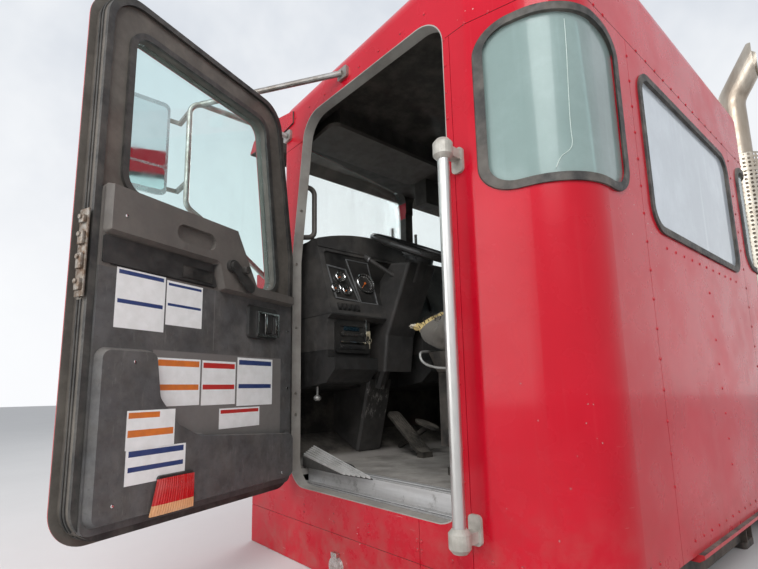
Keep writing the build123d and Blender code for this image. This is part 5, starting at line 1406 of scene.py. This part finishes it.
class CAB_OT_rivets(bpy.types.Operator):
    """Sets the rows of rivets along the panels' seams."""

    bl_idname = "cab.rivets"
    bl_label = "Rivets"

    def execute(self, context):
        sizes = context.scene.cab_sizes
        head = start("uv_sphere", "rivets", segments=8, ring_count=6, radius=sizes.rivet_radius,
                     scale=(1, 1, 0.55))
        pick(head, lambda co: co.z < -0.0001)
        bpy.ops.mesh.delete(type="VERT")
        leave()
        body = skins("roof", "rear_wall", "quarter_panels", "side_panels", "cowl",
                     "windshield_frame")
        rows = []
        column, along = sizes.rivet_pitch, sizes.seam_pitch

        def rear(x, z):
            """Sets a rivet on the rear wall."""
            rows.append(touch(body, (x, 2, z), (0, -1, 0)))

        def flank(y, z):
            """Sets a rivet on each side of the cab."""
            for side in (-1, 1):
                rows.append(touch(body, (2 * side, y, z), (-side, 0, 0)))

        # Rows across the rear wall: how many each way, pitch, shift and height
        for count, pitch, shift, z in ((6, along, -0.008, SEAM_Z), (5, 0.0756, -0.002, 1.0105),
                                       (6, 0.072, -0.007, FOOT_Z)):
            for i in range(-count, count + 1):
                rear(i * pitch + shift, z)
        for i in range(16):
            for x in (-0.534, 0.529):
                rear(x, 1.570 - i * column)
        for i in range(8):
            rear(0.0, 0.920 - i * column)
        # Round the rear corners, aimed from the middle of the corner's arc
        for side in (-1, 1):
            for z in (SEAM_Z, FOOT_Z):
                for turn in (3, 14, 26, 40, 56, 72, 86):
                    angle = math.radians(turn)
                    aim = Vector((side * math.sin(angle), math.cos(angle), 0))
                    centre = Vector((side * ARC_X, ARC_Y, z))
                    rows.append(touch(body, centre + 2 * aim, -aim))
        for i in range(17):
            flank(0.397, 0.291 + i * 0.083)
        for z in (0.177, 0.202):
            for y in (0.347, 0.225, 0.241, 0.02, -0.16, -0.34):
                flank(y, z)
        for i in range(9):
            flank(0.43 - i * 0.106, 1.7545 + 0.012 * (i == 0))
        for i in range(10):
            flank(-0.475, 0.30 + i * 0.09)
        piece = copies(head, [facing(point, normal) for point, normal in rows], "rivets")
        wear(piece, "cab", "paint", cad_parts["side_panels"].data.materials[0])
        return {"FINISHED"}


def label(name, y_range, z_range, x, bars, sizes):
    """A blank label with plain coloured bars, made on the shut driver's door."""
    (y0, y1), (z0, z1) = y_range, z_range
    piece = start("plane", name, size=1, rotation=(0, -math.pi / 2, 0),
                  location=(x - sizes.label_lift, (y0 + y1) / 2, (z0 + z1) / 2),
                  scale=(z1 - z0, y1 - y0, 1))
    cuts = sorted({round(v, 4) for bar in bars for v in bar[2:4]} - {0.0, 1.0})
    sides = sorted({round(v, 4) for bar in bars for v in bar[0:2]} - {0.0, 1.0})
    planes = [((x, y0, z0 + share * (z1 - z0)), (0, 0, 1)) for share in cuts]
    planes += [((x, y1 - share * (y1 - y0), z0), (0, 1, 0)) for share in sides]
    for place, way in planes:
        pick(piece)
        bpy.ops.mesh.bisect(plane_co=place, plane_no=way)
        leave()
    for face in piece.data.polygons:
        across = (y1 - face.center.y) / (y1 - y0)
        up = (face.center.z - z0) / (z1 - z0)
        for left, right, low, high, colour in bars:
            if left < across < right and low < up < high:
                face.material_index = colour
    modify(piece, "SOLIDIFY", thickness=sizes.label_lift * 0.8, offset=0)
    return hang(piece, "left")


class CAB_OT_labels(bpy.types.Operator):
    """Sticks the blank labels on the driver's door."""

    bl_idname = "cab.labels"
    bl_label = "Labels"

    def execute(self, context):
        sizes = context.scene.cab_sizes
        inks = {
            "label_white": ((0.90, 0.90, 0.89), (0.82, 0.82, 0.80)),
            "label_navy": ((0.020, 0.045, 0.16), (0.035, 0.06, 0.18)),
            "label_orange": ((0.75, 0.20, 0.03), (0.62, 0.17, 0.04)),
            "label_red": ((0.55, 0.02, 0.02), (0.48, 0.04, 0.03)),
        }
        materials = [
            coated(name, first, second, rough=(0.3, 0.5), patch=30.0, grain=90.0, bump=0.05,
                   dust=0.1, side="left")
            for name, (first, second) in inks.items()
        ]
        navy, orange, red = 1, 2, 3
        # Y range, Z range, surface, then bars: left, right, low, high as shares, and ink
        table = (
            ((0.164, 0.311), (0.775, 0.930), PANEL_X,
             ((0.04, 0.96, 0.90, 0.97, navy), (0.04, 0.96, 0.41, 0.48, navy))),
            ((0.030, 0.159), (0.798, 0.924), PANEL_X,
             ((0.04, 0.96, 0.89, 0.95, navy), (0.04, 0.96, 0.43, 0.49, navy))),
            ((0.028, 0.180), (0.574, 0.706), PANEL_X,
             ((0.03, 0.97, 0.83, 0.96, orange), (0.03, 0.97, 0.33, 0.45, orange))),
            ((-0.118, 0.021), (0.572, 0.705), PANEL_X,
             ((0.03, 0.97, 0.83, 0.95, red), (0.03, 0.97, 0.35, 0.46, red))),
            ((-0.300, -0.126), (0.565, 0.721), PANEL_X,
             ((0.04, 0.96, 0.85, 0.95, navy), (0.04, 0.96, 0.36, 0.45, navy))),
            ((-0.236, -0.053), (0.498, 0.560), PANEL_X, ((0.03, 0.97, 0.74, 0.92, red),)),
            ((0.131, 0.275), (0.472, 0.568), TRIM_X,
             ((0.03, 0.66, 0.80, 0.95, orange), (0.03, 0.97, 0.32, 0.50, orange))),
            ((0.091, 0.272), (0.388, 0.474), TRIM_X,
             ((0.04, 0.96, 0.78, 0.95, navy), (0.04, 0.96, 0.36, 0.50, navy))),
        )
        for number, (across, up, x, bars) in enumerate(table, 1):
            piece = label(f"door_label_{number}", across, up, x, bars, sizes)
            wear(piece, "door_left", "charcoal", *materials)
        return {"FINISHED"}


class CAB_OT_stage(bpy.types.Operator):
    """Sets the floor, the lights and the camera."""

    bl_idname = "cab.stage"
    bl_label = "Stage"

    def execute(self, context):
        scene = context.scene
        scene.view_settings.view_transform = "Standard"
        floor = start("plane", "stage_floor", size=60, location=(0, 0, -0.002))
        material, tree, shader = blank("stage_pale")
        where = place_on(tree)
        grey = tint(tree, noise(tree, where, 1.4, 6.0, 0.7), (0.62, 0.61, 0.60),
                    (0.70, 0.69, 0.68))
        tree.links.new(grey, shader.inputs["Base Color"])
        shader.inputs["Roughness"].default_value = 0.9
        floor.data.materials.append(material)

        world = bpy.data.worlds.new("stage_sky")
        scene.world = world
        world.use_nodes = True
        tree = world.node_tree
        sky = tree.nodes["Background"]
        up = add(tree, "SeparateXYZ",
                 Vector=add(tree, "TexCoord").outputs["Generated"]).outputs[2]
        shade = tint(tree, between(tree, up, 0.0, 0.75), (0.86, 0.87, 0.89),
                     (0.60, 0.64, 0.70))
        clouds = noise(tree, add(tree, "TexCoord").outputs["Generated"], 2.4, 5.0, 0.6)
        shade = tint(tree, between(tree, clouds, 0.4, 0.7, 0.0, 0.5), shade,
                     (0.92, 0.93, 0.94))
        path = add(tree, "LightPath").outputs
        seen = math_of(tree, "MAXIMUM", path["Is Camera Ray"],
                       math_of(tree, "MAXIMUM", path["Is Glossy Ray"],
                               path["Is Transmission Ray"]))
        tree.links.new(shade, sky.inputs["Color"])
        tree.links.new(between(tree, seen, 0.0, 1.0, 0.85, 1.12), sky.inputs["Strength"])

        # Name, place, aim, size and power of each lamp
        lamps = (
            ("key_lamp", (4.2, 3.2, 4.6), (0.4, 0.2, 0.9), 3.2, 210.0),
            ("door_lamp", (4.6, -0.6, 1.6), (1.2, -0.2, 0.9), 2.4, 50.0),
            ("far_lamp", (-3.5, -4.0, 3.5), (0.0, -0.4, 1.2), 3.0, 120.0),
        )
        for name, place, aim, size, power in lamps:
            data = bpy.data.lights.new(name, "AREA")
            data.size, data.energy = size, power
            lamp = bpy.data.objects.new(name, data)
            lamp.location = place
            turn = Vector(aim) - Vector(place)
            lamp.rotation_euler = turn.to_track_quat("-Z", "Y").to_euler()
            scene.collection.objects.link(lamp)

        data = bpy.data.cameras.new("stage_camera")
        data.sensor_width, data.lens = 36.0, 22.848
        data.shift_x, data.shift_y = 0.01588, 0.03583
        data.clip_start, data.clip_end = 0.02, 100.0
        camera = bpy.data.objects.new("stage_camera", data)
        right = Vector((-0.762183, 0.647166, -0.015926))
        above = Vector((0.090917, 0.131368, 0.987156))
        turn = Matrix((right, above, right.cross(above))).transposed().to_4x4()
        camera.matrix_world = Matrix.Translation((1.954, 1.2055, 0.612)) @ turn
        scene.collection.objects.link(camera)
        scene.camera = camera
        return {"FINISHED"}


class CAB_PT_panel(bpy.types.Panel):
    """Lists the cab's pieces and their settings."""

    bl_idname = "CAB_PT_panel"
    bl_label = "Mixer Truck Cab"
    bl_space_type = "VIEW_3D"
    bl_region_type = "UI"
    bl_category = "Cab"

    def draw(self, context):
        for group in (context.scene.cab_sizes, context.scene.cab_colours):
            for name in group.bl_rna.properties.keys():
                if name not in ("rna_type", "name"):
                    self.layout.prop(group, name)
        for operator in OPERATORS:
            self.layout.operator(operator.bl_idname)


OPERATORS = (CAB_OT_stage, CAB_OT_paint, CAB_OT_glass, CAB_OT_trim, CAB_OT_metal,
             CAB_OT_rivets, CAB_OT_labels, CAB_OT_door_fittings, CAB_OT_instruments,
             CAB_OT_small_parts, CAB_OT_shield, CAB_OT_seats)
CLASSES = (CabSizes, CabColours, *OPERATORS, CAB_PT_panel)


def register():
    """Registers the classes and their settings."""
    for kind in CLASSES:
        bpy.utils.register_class(kind)
    bpy.types.Scene.cab_sizes = bpy.props.PointerProperty(type=CabSizes)
    bpy.types.Scene.cab_colours = bpy.props.PointerProperty(type=CabColours)


def unregister():
    """Takes the classes and their settings away."""
    del bpy.types.Scene.cab_colours
    del bpy.types.Scene.cab_sizes
    for kind in reversed(CLASSES):
        bpy.utils.unregister_class(kind)


def main():
    """Makes every piece."""
    register()
    for operator in OPERATORS:
        group, name = operator.bl_idname.split(".")
        getattr(getattr(bpy.ops, group), name)()


if __name__ == "__main__":
    main()
